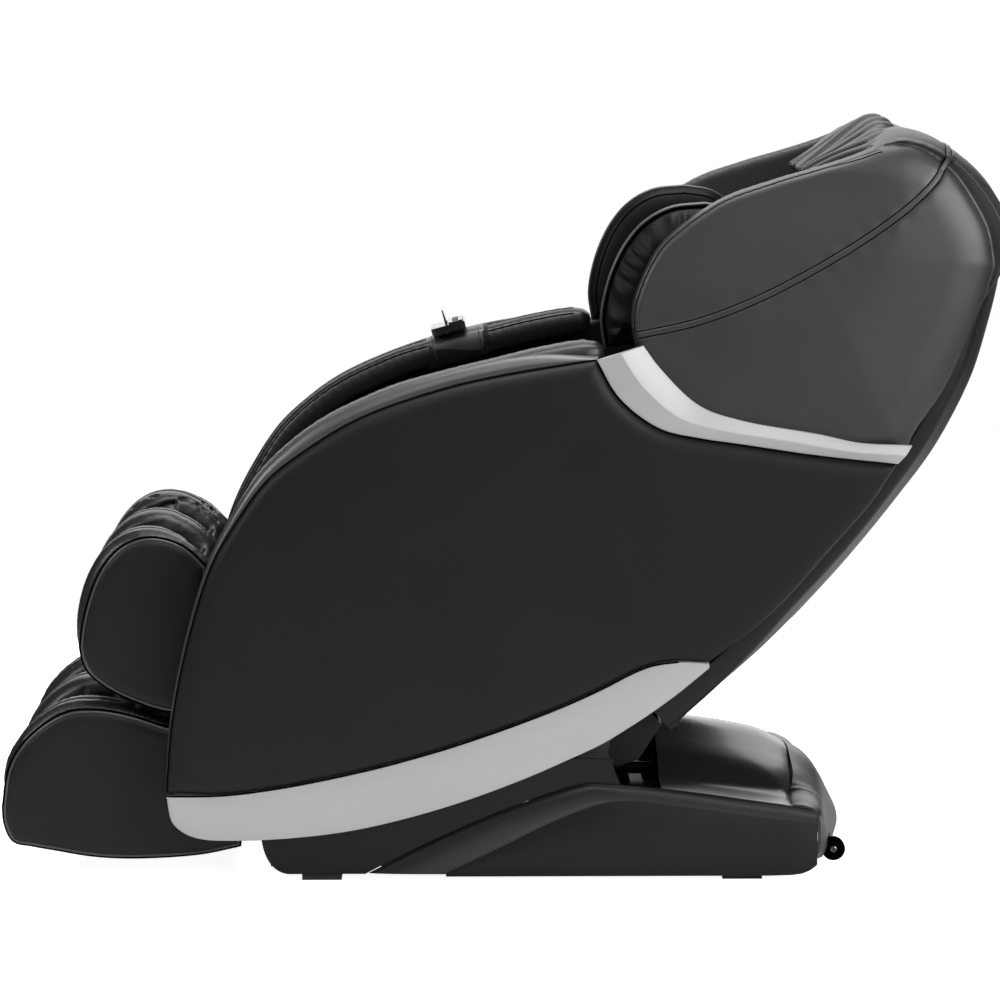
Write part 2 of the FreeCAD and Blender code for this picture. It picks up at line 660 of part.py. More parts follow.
def underbody_cover():
    """The trough under the body, from the back cover's lower edge down to the main pivots."""
    outside = polygon(UNDER_LINE + UNDER_BACK, -UNDER_Y, UNDER_Y)
    floor = longer(shifted(UNDER_LINE, -UNDER_WALL), UNDER_ROOM_TOP - UNDER_LINE[0][1])
    room = floor + [(floor[-1][0], UNDER_ROOM_TOP), (floor[0][0], UNDER_ROOM_TOP)]
    half = UNDER_Y - UNDER_WALL
    return outside.cut(polygon(room, -half, half))


# Cushions and pads

def seat_cushion():
    high = (SEAT_TOP - SEAT_RAIL_TOP - SOFT_GAP) / 2
    centre = SEAT_TOP - high
    x0, x1 = SEAT_FRONT, SEAT_REAR
    path = [(x0, centre + 17), (x0 + 20, centre + 11), (x0 + 50, centre + 3), (x0 + 90, centre), (-200, centre),
            (-60, centre), (60, centre), (x1, centre)]
    return pad(path, 0, SEAT_HALF, high, SEAT_SHAPE)


def back_cushion():
    middle = CUSHION_FRONT - CUSHION_THICK / 2
    s0, s1 = CUSHION_S
    path = [back_point(s0 + (s1 - s0) * i / 5, middle) for i in range(6)]
    shape = [(0, 0.92, 0.45), (0.04, 0.98, 0.85), (0.12, 1, 1)]
    shape += [(0.12 + 0.152 * i + half * 0.076, 1, 1 - 0.14 * half) for i in range(5) for half in (0, 1)][1:]
    shape += [(0.88, 1, 1), (0.96, 0.98, 0.85), (1, 0.92, 0.45)]
    return pad(path, 0, SEAT_HALF, CUSHION_THICK / 2, shape)


def head_pillow():
    middle = CUSHION_FRONT + PILLOW_GAP + PILLOW_THICK / 2
    path = [back_point(s, middle) for s in (PILLOW_S[0], sum(PILLOW_S) / 2, PILLOW_S[1])]
    return pad(path, 0, PILLOW_HALF, PILLOW_THICK / 2, PILLOW_SHAPE)


def pillow_strap(roof):
    """The gathered leather flap that holds the pillow over the top of the hood."""
    rings = []
    under = STRAP_FRONT + [p for p in shifted(walk(HOOD_CROWN_MID, 31), STRAP_GAP) if p[0] < STRAP_REAR_X][::3]
    for i in range(STRAP_GATHERS + 1):
        y = STRAP_HALF * (2.0 * i / STRAP_GATHERS - 1)
        top = shifted(under, STRAP_THICK - (STRAP_FOLD if i % 2 else 0))
        rings.append(ring([top, [top[-1], under[-1]], under[::-1], [under[0], top[0]]], y))
    raised = roof.copy()
    raised.translate(V(0, 0, SOFT_GAP))
    return Part.makeLoft(rings, True, True).cut(raised)


def shoulder_wing():
    return plate(WING, [(WING_IN_Y, 14), (WING_IN_Y + 8, 4), (WING_IN_Y + 26, -3), (WING_OUT_Y - 12, 0),
                        (WING_OUT_Y, 7)], True)


def arm_line():
    """The middle line of the arm roll, along the rim and just below it."""
    line = [p for p in walk(RIM_LINE, 25) if ARM_FRONT < p[0] < ARM_REAR]
    return shifted(line, -(ARM_ROLL_HIGH + RIM_DROP))


def arm_roll():
    return grown_roll(0.0)


def arm_pad():
    floor = SEAT_RAIL_TOP + SOFT_GAP
    front, rear = ARM_PAD_TOP[0], ARM_PAD_TOP[-1]
    sides = [ARM_PAD_TOP, [rear, (rear[0], floor)], [(rear[0], floor), (front[0], floor)],
             [(front[0], floor), front]]
    return plate(sides, [(ARM_PAD_IN_Y, 9), (ARM_PAD_IN_Y + 8, 2), (ARM_PAD_IN_Y + 24, 0),
                         (PANEL_IN_Y - 2, 0)])


def grown_roll(grow):
    return pad(arm_line(), ARM_ROLL_Y, ARM_ROLL_HALF + grow, ARM_ROLL_HIGH + grow, ARM_ROLL_SHAPE)


def remote_band():
    """The leather sleeve round the right arm roll, with the stud on which the controller swivels."""
    (x, z), _ = cradle_foot()
    slab = box(*BAND_X, ARM_ROLL_Y - 60, ARM_ROLL_Y + 60, z - 150, z + 50)
    sleeve = grown_roll(BAND_GAP + BAND_THICK).common(slab)
    stud = cradle_place(Part.makeCylinder(SWIVEL_R, CRADLE_LIFT + SWIVEL_STUD, V(0, 0, -BAND_THICK)))
    return sleeve.fuse(stud).cut(grown_roll(BAND_GAP))


# Controller on the arm

def cradle_foot():
    """The point on the band under the swivel, and the slope of the arm there."""
    line = arm_line()
    i = min(range(len(line)), key=lambda k: abs(line[k][0] - CRADLE_X))
    (x, z), n = line[i], normals(line)[i]
    reach = ARM_ROLL_HIGH + BAND_GAP + BAND_THICK
    return (x + n[0] * reach, z + n[1] * reach), math.degrees(math.atan2(-n[0], n[1]))


def cradle_place(shape):
    """Puts a shape made round the swivel axis, z up, onto the slope of the arm."""
    (x, z), slope = cradle_foot()
    shape.rotate(V(0, 0, 0), V(0, 1, 0), -slope)
    shape.translate(V(x, CRADLE_Y, z))
    return shape


def remote_cradle():
    long, wide, high = CRADLE_SIZE
    half_wide = wide / 2
    top = CRADLE_LIFT + high
    tray = box(-long / 2, long / 2, -half_wide, half_wide, CRADLE_LIFT, top)
    tray = tray.makeFillet(CRADLE_ROUND, upright_edges(tray))
    fin_thick, fin_wide, fin_high = CRADLE_FIN
    tip = top + fin_high
    fin = polygon([(-fin_thick, top - 1), (0, top - 1), (-fin_thick / 2, tip), (-fin_thick, tip)],
                  -fin_wide / 2, fin_wide / 2)
    seat_long, seat_wide = HANDSET_SIZE[0] / 2 + SLIDE_FIT, HANDSET_SIZE[1] / 2 + SLIDE_FIT
    floor = CRADLE_LIFT + CRADLE_FLOOR
    pocket = box(HANDSET_X - seat_long, HANDSET_X + seat_long, -seat_wide, seat_wide, floor, top + 1)
    hub = Part.makeCylinder(SWIVEL_R + HUB_WALL, CRADLE_LIFT - SOFT_GAP + 1, V(0, 0, SOFT_GAP))
    bore = Part.makeCylinder(SWIVEL_R + RUN_FIT, CRADLE_LIFT + SWIVEL_STUD + SOFT_GAP, V(0, 0, 0))
    return cradle_place(fused([tray.cut(pocket), fin, hub]).cut(bore))


def upright_edges(shape):
    return [e for e in shape.Edges if abs(e.Vertexes[0].Z - e.Vertexes[-1].Z) > 1]


def round_edges(shape):
    return [e for e in shape.Edges if e.Curve.TypeId == "Part::GeomCircle"]


def handset():
    long, wide, high = HANDSET_SIZE
    floor = CRADLE_LIFT + CRADLE_FLOOR
    body = box(HANDSET_X - long / 2, HANDSET_X + long / 2, -wide / 2, wide / 2, floor, floor + high)
    body = body.makeFillet(HANDSET_ROUND, upright_edges(body))
    for k in range(len(KEY_NAMES)):
        hole = Part.makeCylinder(KEY_R + SLIDE_FIT, KEY_DEEP, V(HANDSET_X, key_y(k), floor + high - KEY_DEEP))
        body = body.cut(hole)
    return cradle_place(body)


def key_y(k):
    return (k - (len(KEY_NAMES) - 1) / 2) * KEY_PITCH


def key(k):
    top = CRADLE_LIFT + CRADLE_FLOOR + HANDSET_SIZE[2]
    low = top - KEY_DEEP + KEY_TRAVEL + SLIDE_FIT
    return cradle_place(Part.makeCylinder(KEY_R, top + KEY_PROUD - low, V(HANDSET_X, key_y(k), low)))


# Seat frame and massage rails

def rail_band(n0, n1, y0, y1):
    """A band along the L-shaped track between two distances in front of its middle line."""
    cx, cz = back_point(0, RAIL_ARC)
    edges = []
    for n, forward in ((n0, True), (n1, False)):
        r = RAIL_ARC - n
        top, foot = back_point(RAIL_RUN, n), back_point(0, n)
        half_turn = math.radians(90 - BACK_LEAN) / 2
        mid_angle = math.radians(BACK_LEAN) * -1 - half_turn
        middle = (cx + r * math.cos(mid_angle), cz + r * math.sin(mid_angle))
        low, front = (cx, cz - r), (RAIL_SEAT_END_X, cz - r)
        run = [V(p[0], y0, p[1]) for p in (top, foot, middle, low, front)]
        if forward:
            edges += [Part.makeLine(run[0], run[1]), Part.Arc(run[1], run[2], run[3]).toShape(),
                      Part.makeLine(run[3], run[4])]
            corner, start = run[4], run[0]
        else:
            edges += [Part.makeLine(corner, run[4]), Part.makeLine(run[4], run[3]),
                      Part.Arc(run[3], run[2], run[1]).toShape(), Part.makeLine(run[1], run[0]),
                      Part.makeLine(run[0], start)]
    return Part.Face(Part.Wire(edges)).extrude(V(0, y1 - y0, 0))


def massage_rail():
    half, out = RAIL_HIGH / 2, RAIL_Y + RAIL_DEPTH
    web = rail_band(-half, half, out - RAIL_SHEET, out)
    front = rail_band(half - RAIL_SHEET, half, RAIL_Y, out)
    rear = rail_band(-half, -half + RAIL_SHEET, RAIL_Y, out)
    return fused([web, front, rear])


def tooth_pitch():
    return math.pi * MODULE


def rack_pitch_n():
    return -RAIL_HIGH / 2 - RACK_BACK - MODULE * DEDENDUM


def rack():
    """A toothed bar on the rear flange; a gap lies at the carriage's rest place."""
    pitch = tooth_pitch()
    back_n = -RAIL_HIGH / 2
    root_n = back_n - RACK_BACK
    tip_n = rack_pitch_n() - MODULE * ADDENDUM
    first = round((RACK_S[0] - CARRIAGE_S) / pitch) + 0.5
    count = round((RACK_S[1] - RACK_S[0]) / pitch)
    half_root = pitch * TOOTH_SHARE / 2 + MODULE * DEDENDUM * math.tan(FLANK)
    half_tip = pitch * TOOTH_SHARE / 2 - MODULE * ADDENDUM * math.tan(FLANK)
    points = [back_point(CARRIAGE_S + (first - 0.5) * pitch, back_n)]
    points.append(back_point(CARRIAGE_S + (first - 0.5) * pitch, root_n))
    for k in range(count):
        s = CARRIAGE_S + (first + k) * pitch
        for ds, n in ((-half_root, root_n), (-half_tip, tip_n), (half_tip, tip_n), (half_root, root_n)):
            points.append(back_point(s + ds, n))
    last = CARRIAGE_S + (first + count - 0.5) * pitch
    points += [back_point(last, root_n), back_point(last, back_n)]
    return polygon(points, RACK_Y, RACK_Y + RACK_WIDE)


def pinion_centre_n():
    return rack_pitch_n() - MODULE * PINION_TEETH / 2


def pinion_shaft():
    """Two pinions on one shaft; a tooth of each points at the rack at rest."""
    pitch_r = MODULE * PINION_TEETH / 2
    root_r, tip_r = pitch_r - MODULE * DEDENDUM, pitch_r + MODULE * ADDENDUM
    cx, cz = back_point(CARRIAGE_S, pinion_centre_n())
    half = tooth_pitch() * TOOTH_SHARE / 2
    points = []
    for k in range(PINION_TEETH):
        turn = 2 * math.pi * k / PINION_TEETH
        for r, width in ((root_r, half + MODULE * DEDENDUM * math.tan(FLANK) * 0.5),
                         (pitch_r, half), (tip_r, half - MODULE * ADDENDUM * math.tan(FLANK) * 1.1)):
            points.append((turn, r, -width))
        for r, width in ((tip_r, half - MODULE * ADDENDUM * math.tan(FLANK) * 1.1), (pitch_r, half),
                         (root_r, half + MODULE * DEDENDUM * math.tan(FLANK) * 0.5)):
            points.append((turn, r, width))
    outline = []
    for turn, r, width in points:
        angle = turn + width / r
        a, b = r * math.sin(angle), r * math.cos(angle)
        outline.append((cx + a * BACK_UP[0] + b * BACK_OUT[0], cz + a * BACK_UP[1] + b * BACK_OUT[1]))
    end = RACK_Y + RACK_WIDE
    wheels = pair(polygon(outline, RACK_Y + 1, end - 1))
    return fused(wheels + [shaft(cx, cz, PINION_SHAFT_R, -end, end)])


def seat_frame():
    """The welded frame of seat and back, with knee lugs, main pivots and roller lugs."""
    half = TUBE / 2
    inner, outer = SEAT_RAIL_Y - half, SEAT_RAIL_Y + half
    low = SEAT_RAIL_TOP - TUBE
    middle = SEAT_RAIL_TOP - half
    lug = (LUG_IN_Y, LUG_IN_Y + LUG_THICK)
    side = [box(SEAT_RAIL_FRONT, SEAT_RAIL_REAR, inner, outer, low, SEAT_RAIL_TOP)]
    foot = (SEAT_RAIL_REAR - half, middle)
    top = (foot[0] + UPRIGHT * BACK_UP[0], foot[1] + UPRIGHT * BACK_UP[1])
    side.append(beam(foot, top, inner, outer, TUBE))
    knee_lug = fused([polygon([(SEAT_RAIL_FRONT, low), (SEAT_RAIL_FRONT + 60, SEAT_RAIL_TOP),
                               (KNEE[0] + KNEE_LUG_R, KNEE[1]), (KNEE[0] - KNEE_LUG_R * 0.9, KNEE[1] - 10)],
                              KNEE_LUG_IN_Y, KNEE_LUG_IN_Y + LUG_THICK),
                      shaft(*KNEE, KNEE_LUG_R, KNEE_LUG_IN_Y, KNEE_LUG_IN_Y + LUG_THICK)])
    side.append(knee_lug)
    roller = (PIVOT[0] + ROLLER_FROM_PIVOT[0], PIVOT[1] + ROLLER_FROM_PIVOT[1])
    for (x, z), r, spread in ((PIVOT, PIVOT_LUG_R, 60), (roller, ROLLER_LUG_R, 45)):
        side.append(polygon([(x - spread, low + 1), (x + spread, low + 1), (x + r, z), (x - r, z)], *lug))
        side.append(shaft(x, z, r, *lug))
    side.append(shaft(*PIVOT, PIVOT_R, PIN_INNER_Y, LUG_IN_Y + LUG_THICK))
    for x in BRACKET_X:
        side.append(box(x, x + BRACKET_LONG, outer - 1, PANEL_Y - PANEL_WALL - SOFT_GAP, low + 3, SEAT_RAIL_TOP))
    x, z = foot[0] + 0.7 * UPRIGHT * BACK_UP[0], foot[1] + 0.7 * UPRIGHT * BACK_UP[1]
    half_bracket = BRACKET_LONG / 2
    side.append(box(x - half_bracket, x + half_bracket, outer - 1, HOOD_Y - HOOD_WALL - SOFT_GAP,
                    z - half_bracket, z + half_bracket))
    whole = []
    for shape in side:
        whole += pair(shape)
    rail_out = RAIL_Y + RAIL_DEPTH
    cross = back_point(CROSS_S, CROSS_N)
    whole.append(shaft(*cross, 10, -outer, outer))
    whole += pair(beam(cross, back_point(CROSS_S, 5), inner + 5, outer - 5, 20))
    whole += pair(back_box(CROSS_S - 10, CROSS_S + 10, CROSS_N, -RAIL_HIGH / 2, RAIL_Y, rail_out))
    whole.append(shaft(*back_point(TOP_CROSS_S, 9), 12, -outer, outer))
    s0, s1 = CUSHION_BAR_S
    bar_n = CUSHION_FRONT - CUSHION_THICK - SOFT_GAP
    whole.append(back_box(s0, s1, bar_n - 16, bar_n, -outer, outer))
    whole += pair(back_box(s0, s1, 5, bar_n - 15, inner, outer))
    for s in RAIL_BRACKET_S:
        whole += pair(back_box(s - 10, s + 10, -5, 12, rail_out, inner + 1))
    cross_z = back_point(0, RAIL_ARC)[1] - RAIL_ARC
    for x in SEAT_CROSS_X:
        whole.append(box(x, x + TUBE, -inner - 1, inner + 1, low + 3, low + 18))
        whole += pair(box(x, x + TUBE, rail_out, rail_out + 6, cross_z, low + 4))
    whole.append(box(FRONT_CROSS_X, FRONT_CROSS_X + TUBE, -inner - 1, inner + 1, SEAT_RAIL_TOP - 15, SEAT_RAIL_TOP))
    frame = fused(whole)
    bore = shaft(*KNEE, KNEE_R + RUN_FIT, -outer, outer)
    axle = shaft(*roller, ROLLER_AXLE_R + RUN_FIT, -outer, outer)
    return frame.cut(bore).cut(axle)


# Massage carriage

def massage_carriage():
    s0, s1 = CARRIAGE_S - 90, CARRIAGE_S + 90
    cheek = (CHASSIS_Y, CHASSIS_Y + CHASSIS_SHEET)
    half = RAIL_HIGH / 2 - RAIL_SHEET - SLIDE_FIT
    reach = RAIL_Y + RAIL_DEPTH - RAIL_SHEET - SLIDE_FIT
    side = [back_box(s0, s1, -90, 20, *cheek)]
    for s in (s0 + 8, s1 - 32):
        side.append(back_box(s, s + 24, -half, half, cheek[1] - 1, reach))
    whole = []
    for shape in side:
        whole += pair(shape)
    for s, n, r in ((s0 + 14, -20, 7), (s1 - 14, -20, 7), (CARRIAGE_S, ARM_PIVOT_N, ARM_PIVOT_R)):
        x, z = back_point(s, n)
        whole.append(shaft(x, z, r, -cheek[1], cheek[1]))
    whole.append(back_box(CARRIAGE_S - 60, CARRIAGE_S + 60, -118, -66, -cheek[0] - 1, cheek[0] + 1))
    x, z = back_point(CARRIAGE_S, pinion_centre_n())
    bore = shaft(x, z, PINION_SHAFT_R + RUN_FIT, -cheek[1] - 1, cheek[1] + 1)
    return fused(whole).cut(bore)


def roller_place(sign):
    return back_point(CARRIAGE_S + sign * ARM_REACH, MASSAGE_ROLLER_N)


def roller_arms():
    """Two forked arms on one sleeve that rocks on the carriage's cross shaft."""
    px, pz = back_point(CARRIAGE_S, ARM_PIVOT_N)
    sleeve_y = ARM_Y + ARM_THICK
    whole = [shaft(px, pz, ARM_PIVOT_R + 6, -sleeve_y, sleeve_y)]
    for sign in (-1, 1):
        x, z = roller_place(sign)
        for shape in (beam((px, pz), (x, z), ARM_Y, sleeve_y, 20), shaft(x, z, 12, ARM_Y, sleeve_y)):
            whole += pair(shape)
    arms = fused(whole).cut(shaft(px, pz, ARM_PIVOT_R + RUN_FIT, -sleeve_y, sleeve_y))
    for sign in (-1, 1):
        arms = arms.cut(shaft(*roller_place(sign), MASSAGE_AXLE_R + RUN_FIT, -sleeve_y, sleeve_y))
    return arms


def massage_rollers(sign):
    x, z = roller_place(sign)
    outer = ARM_Y - 2
    inner = outer - MASSAGE_ROLLER_WIDE
    wheel = shaft(x, z, MASSAGE_ROLLER_R, inner, outer)
    wheel = wheel.makeFillet(MASSAGE_ROLLER_WIDE * 0.35, round_edges(wheel))
    end = ARM_Y + ARM_THICK + 4
    return fused(pair(wheel) + [shaft(x, z, MASSAGE_AXLE_R, -end, end)])


# Leg lift actuator, calf and foot units

def leg_axis_z():
    return KNEE[1] - LEVER_REACH


def leg_pin_x(share):
    return KNEE[0] + LEG_STROKE * (0.5 - share)


def leg_actuator():
    z = leg_axis_z()
    back = leg_pin_x(0) + LEG_TUBE_FROM
    tube = Part.makeCylinder(TUBE_R, LEG_TUBE_LONG, V(back, 0, z), V(1, 0, 0))
    bore = Part.makeCylinder(ROD_R + SLIDE_FIT, LEG_TUBE_LONG - 12, V(back, 0, z), V(1, 0, 0))
    gear = box(back + LEG_TUBE_LONG - 2, back + LEG_TUBE_LONG + 44, -26, 26, z - 30, z + 24)
    motor = Part.makeCylinder(24, 90, V(back + LEG_TUBE_LONG - 70, 0, z - 42), V(1, 0, 0))
    saddle = box(back + 30, back + 60, -20, 20, z, SEAT_RAIL_TOP - 15)
    return fused([tube, gear, motor, saddle]).cut(bore)


def leg_rod():
    z = leg_axis_z()
    x = leg_pin_x(0)
    rod = Part.makeCylinder(ROD_R, LEG_ROD_LONG, V(x, 0, z), V(1, 0, 0))
    eye_half = LEVER_GAP_Y - 0.5
    end = LEVER_GAP_Y + LEVER_PLATE + 3
    flat = box(x - 16, x + LEG_EYE_LONG, -eye_half, eye_half, z - ROD_R, z + ROD_R)
    neck = rod.common(box(x + LEG_EYE_LONG - 1, x + LEG_ROD_LONG, -ROD_R, ROD_R, z - ROD_R, z + ROD_R))
    return fused([flat, neck, shaft(x, z, LEG_PIN_R, -end, end)])


def leg_slot():
    """The lever's slot: as long as the pin's distance from the knee varies, with its play."""
    far = math.hypot(LEVER_REACH, LEG_STROKE / 2)
    angle = math.atan2(LEG_STROKE / 2, LEVER_REACH)
    dx, dz = math.sin(angle), -math.cos(angle)
    half = LEG_PIN_R + LEG_PIN_PLAY
    near_end = (KNEE[0] + LEVER_REACH * dx, KNEE[1] + LEVER_REACH * dz)
    far_end = (KNEE[0] + far * dx, KNEE[1] + far * dz)
    return near_end, far_end, half, (dx, dz)


def calf_frame():
    """Knee shaft, slotted lever, side arms and the guide tubes of the foot unit."""
    half = CALF_ARM_HIGH / 2
    arm_y = (GUIDE_Y - 4, GUIDE_Y + 4)
    foot = (GUIDE_TOP[0] + GUIDE_LONG * DOWN[0], GUIDE_TOP[1] + GUIDE_LONG * DOWN[1])
    head = (GUIDE_TOP[0] - GUIDE_HEAD * DOWN[0], GUIDE_TOP[1] - GUIDE_HEAD * DOWN[1])
    side = [beam(KNEE, GUIDE_TOP, *arm_y, 2 * half), bar(head, foot, GUIDE_Y, GUIDE_TUBE_R)]
    side.append(shaft(*KNEE, KNEE_SHAFT_R + 6, *arm_y))
    whole = []
    for shape in side:
        whole += pair(shape)
    whole.append(shaft(*KNEE, KNEE_SHAFT_R, -arm_y[1], arm_y[1]))
    whole.append(shaft(*KNEE, KNEE_R, -KNEE_LUG_IN_Y - LUG_THICK - 2, KNEE_LUG_IN_Y + LUG_THICK + 2))
    near_end, far_end, slot_half, (dx, dz) = leg_slot()
    wall = slot_half + LEVER_EDGE
    for lever in pair(fused([beam(KNEE, far_end, LEVER_GAP_Y, LEVER_GAP_Y + LEVER_PLATE, 2 * wall),
                             shaft(*far_end, wall, LEVER_GAP_Y, LEVER_GAP_Y + LEVER_PLATE)])):
        whole.append(lever)
    frame = fused(whole)
    reach = LEVER_GAP_Y + LEVER_PLATE + 1
    slot = fused([beam(near_end, far_end, LEVER_GAP_Y - 1, reach, 2 * slot_half),
                  shaft(*near_end, slot_half, LEVER_GAP_Y - 1, reach),
                  shaft(*far_end, slot_half, LEVER_GAP_Y - 1, reach)])
    for cutter in pair(slot):
        frame = frame.cut(cutter)
    long_bore = (foot[0] + 5 * DOWN[0], foot[1] + 5 * DOWN[1])
    above = (GUIDE_TOP[0] - 40 * DOWN[0], GUIDE_TOP[1] - 40 * DOWN[1])
    for cutter in pair(bar(above, long_bore, GUIDE_Y, GUIDE_ROD_R + RUN_FIT)):
        frame = frame.cut(cutter)
    return frame


def leg_walls(cover, proud, cutters):
    """The three padded walls of a leg unit: two outer ones and the divider."""
    sides = inset(cover, -proud)
    outer = plate(sides, [(LEG_WELL_OUT_Y, 12), (LEG_WELL_OUT_Y + 10, 2), (LEG_WELL_OUT_Y + 26, 0),
                          (LEG_WALL_Y - 22, 0), (LEG_WALL_Y - 8, 3), (LEG_WALL_Y, 9)])
    for cutter in cutters:
        outer = outer.cut(cutter)
    inner = plate(sides, [(-LEG_WELL_IN_Y, 12), (-LEG_WELL_IN_Y + 10, 2), (-8, 0), (8, 0),
                          (LEG_WELL_IN_Y - 10, 2), (LEG_WELL_IN_Y, 12)])
    return pair(outer) + [inner]


def well_floor(cover, well, proud):
    """The padded floor between two walls: the cover's outline behind the well line."""
    sides = inset(cover, -proud + 12)
    y0, y1 = LEG_WELL_IN_Y + SOFT_GAP, LEG_WELL_OUT_Y - SOFT_GAP
    whole = prism(sides, y0, y1)
    end, start = well[-1], well[0]
    room = [well, [end, (-1000, end[1])], [(-1000, end[1]), (-1000, start[1] + 200)],
            [(-1000, start[1] + 200), (start[0], start[1] + 200)], [(start[0], start[1] + 200), start]]
    return whole.cut(prism(room, y0 - 1, y1 + 1))


def guide_cut(grow):
    """Room in the walls for the guide tube, its arm and the rod."""
    y0, y1 = GUIDE_Y - GUIDE_TUBE_R - grow, GUIDE_Y + GUIDE_TUBE_R + grow
    foot = (GUIDE_TOP[0] + (GUIDE_LONG + 60) * DOWN[0], GUIDE_TOP[1] + (GUIDE_LONG + 60) * DOWN[1])
    above = (GUIDE_TOP[0] - 60 * DOWN[0], GUIDE_TOP[1] - 60 * DOWN[1])
    tunnel = beam(above, foot, y0, y1, 2 * (GUIDE_TUBE_R + grow))
    behind = (KNEE[0] + 40, KNEE[1] + 0.35 * (KNEE[1] - GUIDE_TOP[1]))
    arm = beam(behind, GUIDE_TOP, y0, y1, CALF_ARM_HIGH + 2 * grow)
    return [tunnel, arm]


def calf_pads():
    walls = leg_walls(CALF_COVER, CALF_PAD_PROUD, guide_cut(1.0))
    floor = well_floor(CALF_COVER, CALF_WELL, CALF_PAD_PROUD)
    return walls + pair(floor)


def leg_cover(cover):
    y0, y1 = LEG_COVER_Y - LEG_COVER_THICK, LEG_COVER_Y
    return plate(cover, [(y0, 0), (y1 - 3, 0), (y1, 4)])


def foot_pads():
    rod = bar((GUIDE_TOP[0] - 60 * DOWN[0], GUIDE_TOP[1] - 60 * DOWN[1]),
              (GUIDE_TOP[0] + (FOOT_ROD_LONG + 4) * DOWN[0], GUIDE_TOP[1] + (FOOT_ROD_LONG + 4) * DOWN[1]),
              GUIDE_Y, GUIDE_ROD_R + SOFT_GAP)
    walls = leg_walls(FOOT_COVER, FOOT_PAD_PROUD, [rod, foot_shaft_room()])
    walls[2] = walls[2].cut(foot_shaft_room()).cut(mirrored(foot_shaft_room()))
    floor = well_floor(FOOT_COVER, FOOT_WELL, FOOT_PAD_PROUD)
    x, z = FOOT_ROLLER
    for k in range(2):
        y0 = LEG_WELL_IN_Y + 24 + k * 60
        reach = FOOT_ROLLER_R + 4
        floor = floor.cut(box(x - reach, x + reach, y0, y0 + 36, z - reach + 1, z + 60))
    floor = floor.cut(shaft(x, z, FOOT_SHAFT_R + SLIDE_FIT, 0, LEG_WELL_OUT_Y))
    return walls + pair(floor)


def foot_shaft_room():
    x, z = FOOT_ROLLER
    return shaft(x, z, FOOT_SHAFT_R + SLIDE_FIT, 0, LEG_WELL_OUT_Y + 12)


def foot_guides():
    foot = (GUIDE_TOP[0] + FOOT_ROD_LONG * DOWN[0], GUIDE_TOP[1] + FOOT_ROD_LONG * DOWN[1])
    return pair(bar(GUIDE_TOP, foot, GUIDE_Y, GUIDE_ROD_R))


def foot_rollers():
    x, z = FOOT_ROLLER
    end = LEG_WELL_OUT_Y + 10
    whole = [shaft(x, z, FOOT_SHAFT_R, -end, end)]
    for k in range(2):
        y0 = LEG_WELL_IN_Y + 28 + k * 60
        whole += pair(shaft(x, z, FOOT_ROLLER_R, y0, y0 + 28))
    return fused(whole)


# Base

def base_frame():
    """Welded tubes: two long rails, cross tubes that carry the skirts, posts and a floor under the motors."""
    z0, z1 = BASE_RAIL_Z, BASE_RAIL_Z + BASE_TUBE
    half = BASE_TUBE / 2
    rail = GLIDE_RAIL / 2
    whole = pair(box(BASE_FRONT + 13, BASE_FRAME_REAR, BASE_RAIL_Y - half, BASE_RAIL_Y + half, z0, z1))
    for x in BASE_CROSS_X:
        reach = SIDE_PLATE_Y
        if x > SKIRT_START_X:
            reach += SIDE_PLATE_THICK + SEAM
        if x > SIDE_PLATE_REAR:
            reach = SKIRT_Y - SKIRT_WALL
        whole.append(box(x, x + BASE_TUBE, -reach, reach, z0, z1))
        if x < GLIDE_RAIL_X[1]:
            whole += pair(box(x + 2, x + BASE_TUBE - 2, GLIDE_RAIL_Y - rail, GLIDE_RAIL_Y + rail,
                              z1 - 1, GLIDE_RAIL_Z))
    whole.append(box(BASE_CROSS_X[2], BASE_CROSS_X[3] + 1, -BASE_RAIL_Y, BASE_RAIL_Y, z1 - FLOOR_SHEET, z1))
    return fused(whole)


def glide_rails():
    half = GLIDE_RAIL / 2
    return pair(box(*GLIDE_RAIL_X, GLIDE_RAIL_Y - half, GLIDE_RAIL_Y + half,
                    GLIDE_RAIL_Z, GLIDE_RAIL_Z + GLIDE_RAIL))


def roller_path(count):
    """Where the tilt roller's middle goes as the chair reclines."""
    points = []
    for i in range(count):
        share = i / (count - 1)
        x, z = turned(ROLLER_FROM_PIVOT, TILT_MAX * share)
        points.append((PIVOT[0] + x - GLIDE_MAX * share, PIVOT[1] + z))
    return points


def cam_plate():
    """A plate with the slot in which the tilt roller climbs, forward and up."""
    half = ROLLER_R + CAM_PLAY
    path = roller_path(7)
    up, down = shifted(path, half), shifted(path, -half)
    if up[0][1] < down[0][1]:
        up, down = down, up
    y = CAM_IN_Y - 1
    tip, *_, back = longer(path, half)
    nose, tail = V(back[0], y, back[1]), V(tip[0], y, tip[1])
    corners = [V(p[0], y, p[1]) for p in (up[-1], down[-1], down[0], up[0])]
    edges = [side_edge(up, y), Part.Arc(corners[0], nose, corners[1]).toShape(),
             side_edge(down[::-1], y), Part.Arc(corners[2], tail, corners[3]).toShape()]
    slot = Part.Face(Part.Wire(edges)).extrude(V(0, CAM_OUT_Y - CAM_IN_Y + 2, 0))
    wall = half + CAM_WALL
    floor = BASE_RAIL_Z + BASE_TUBE
    (sx, sz), (ex, ez) = path[0], path[-1]
    bevel = wall * 0.4
    outline = [(sx + wall, floor), (sx + wall, sz + bevel), (sx + bevel, sz + wall), (ex + wall * 0.3, ez + wall),
               (ex - bevel, ez + wall), (ex - wall, ez + bevel), (ex - wall, floor)]
    return polygon(outline, CAM_IN_Y, CAM_OUT_Y).cut(slot)


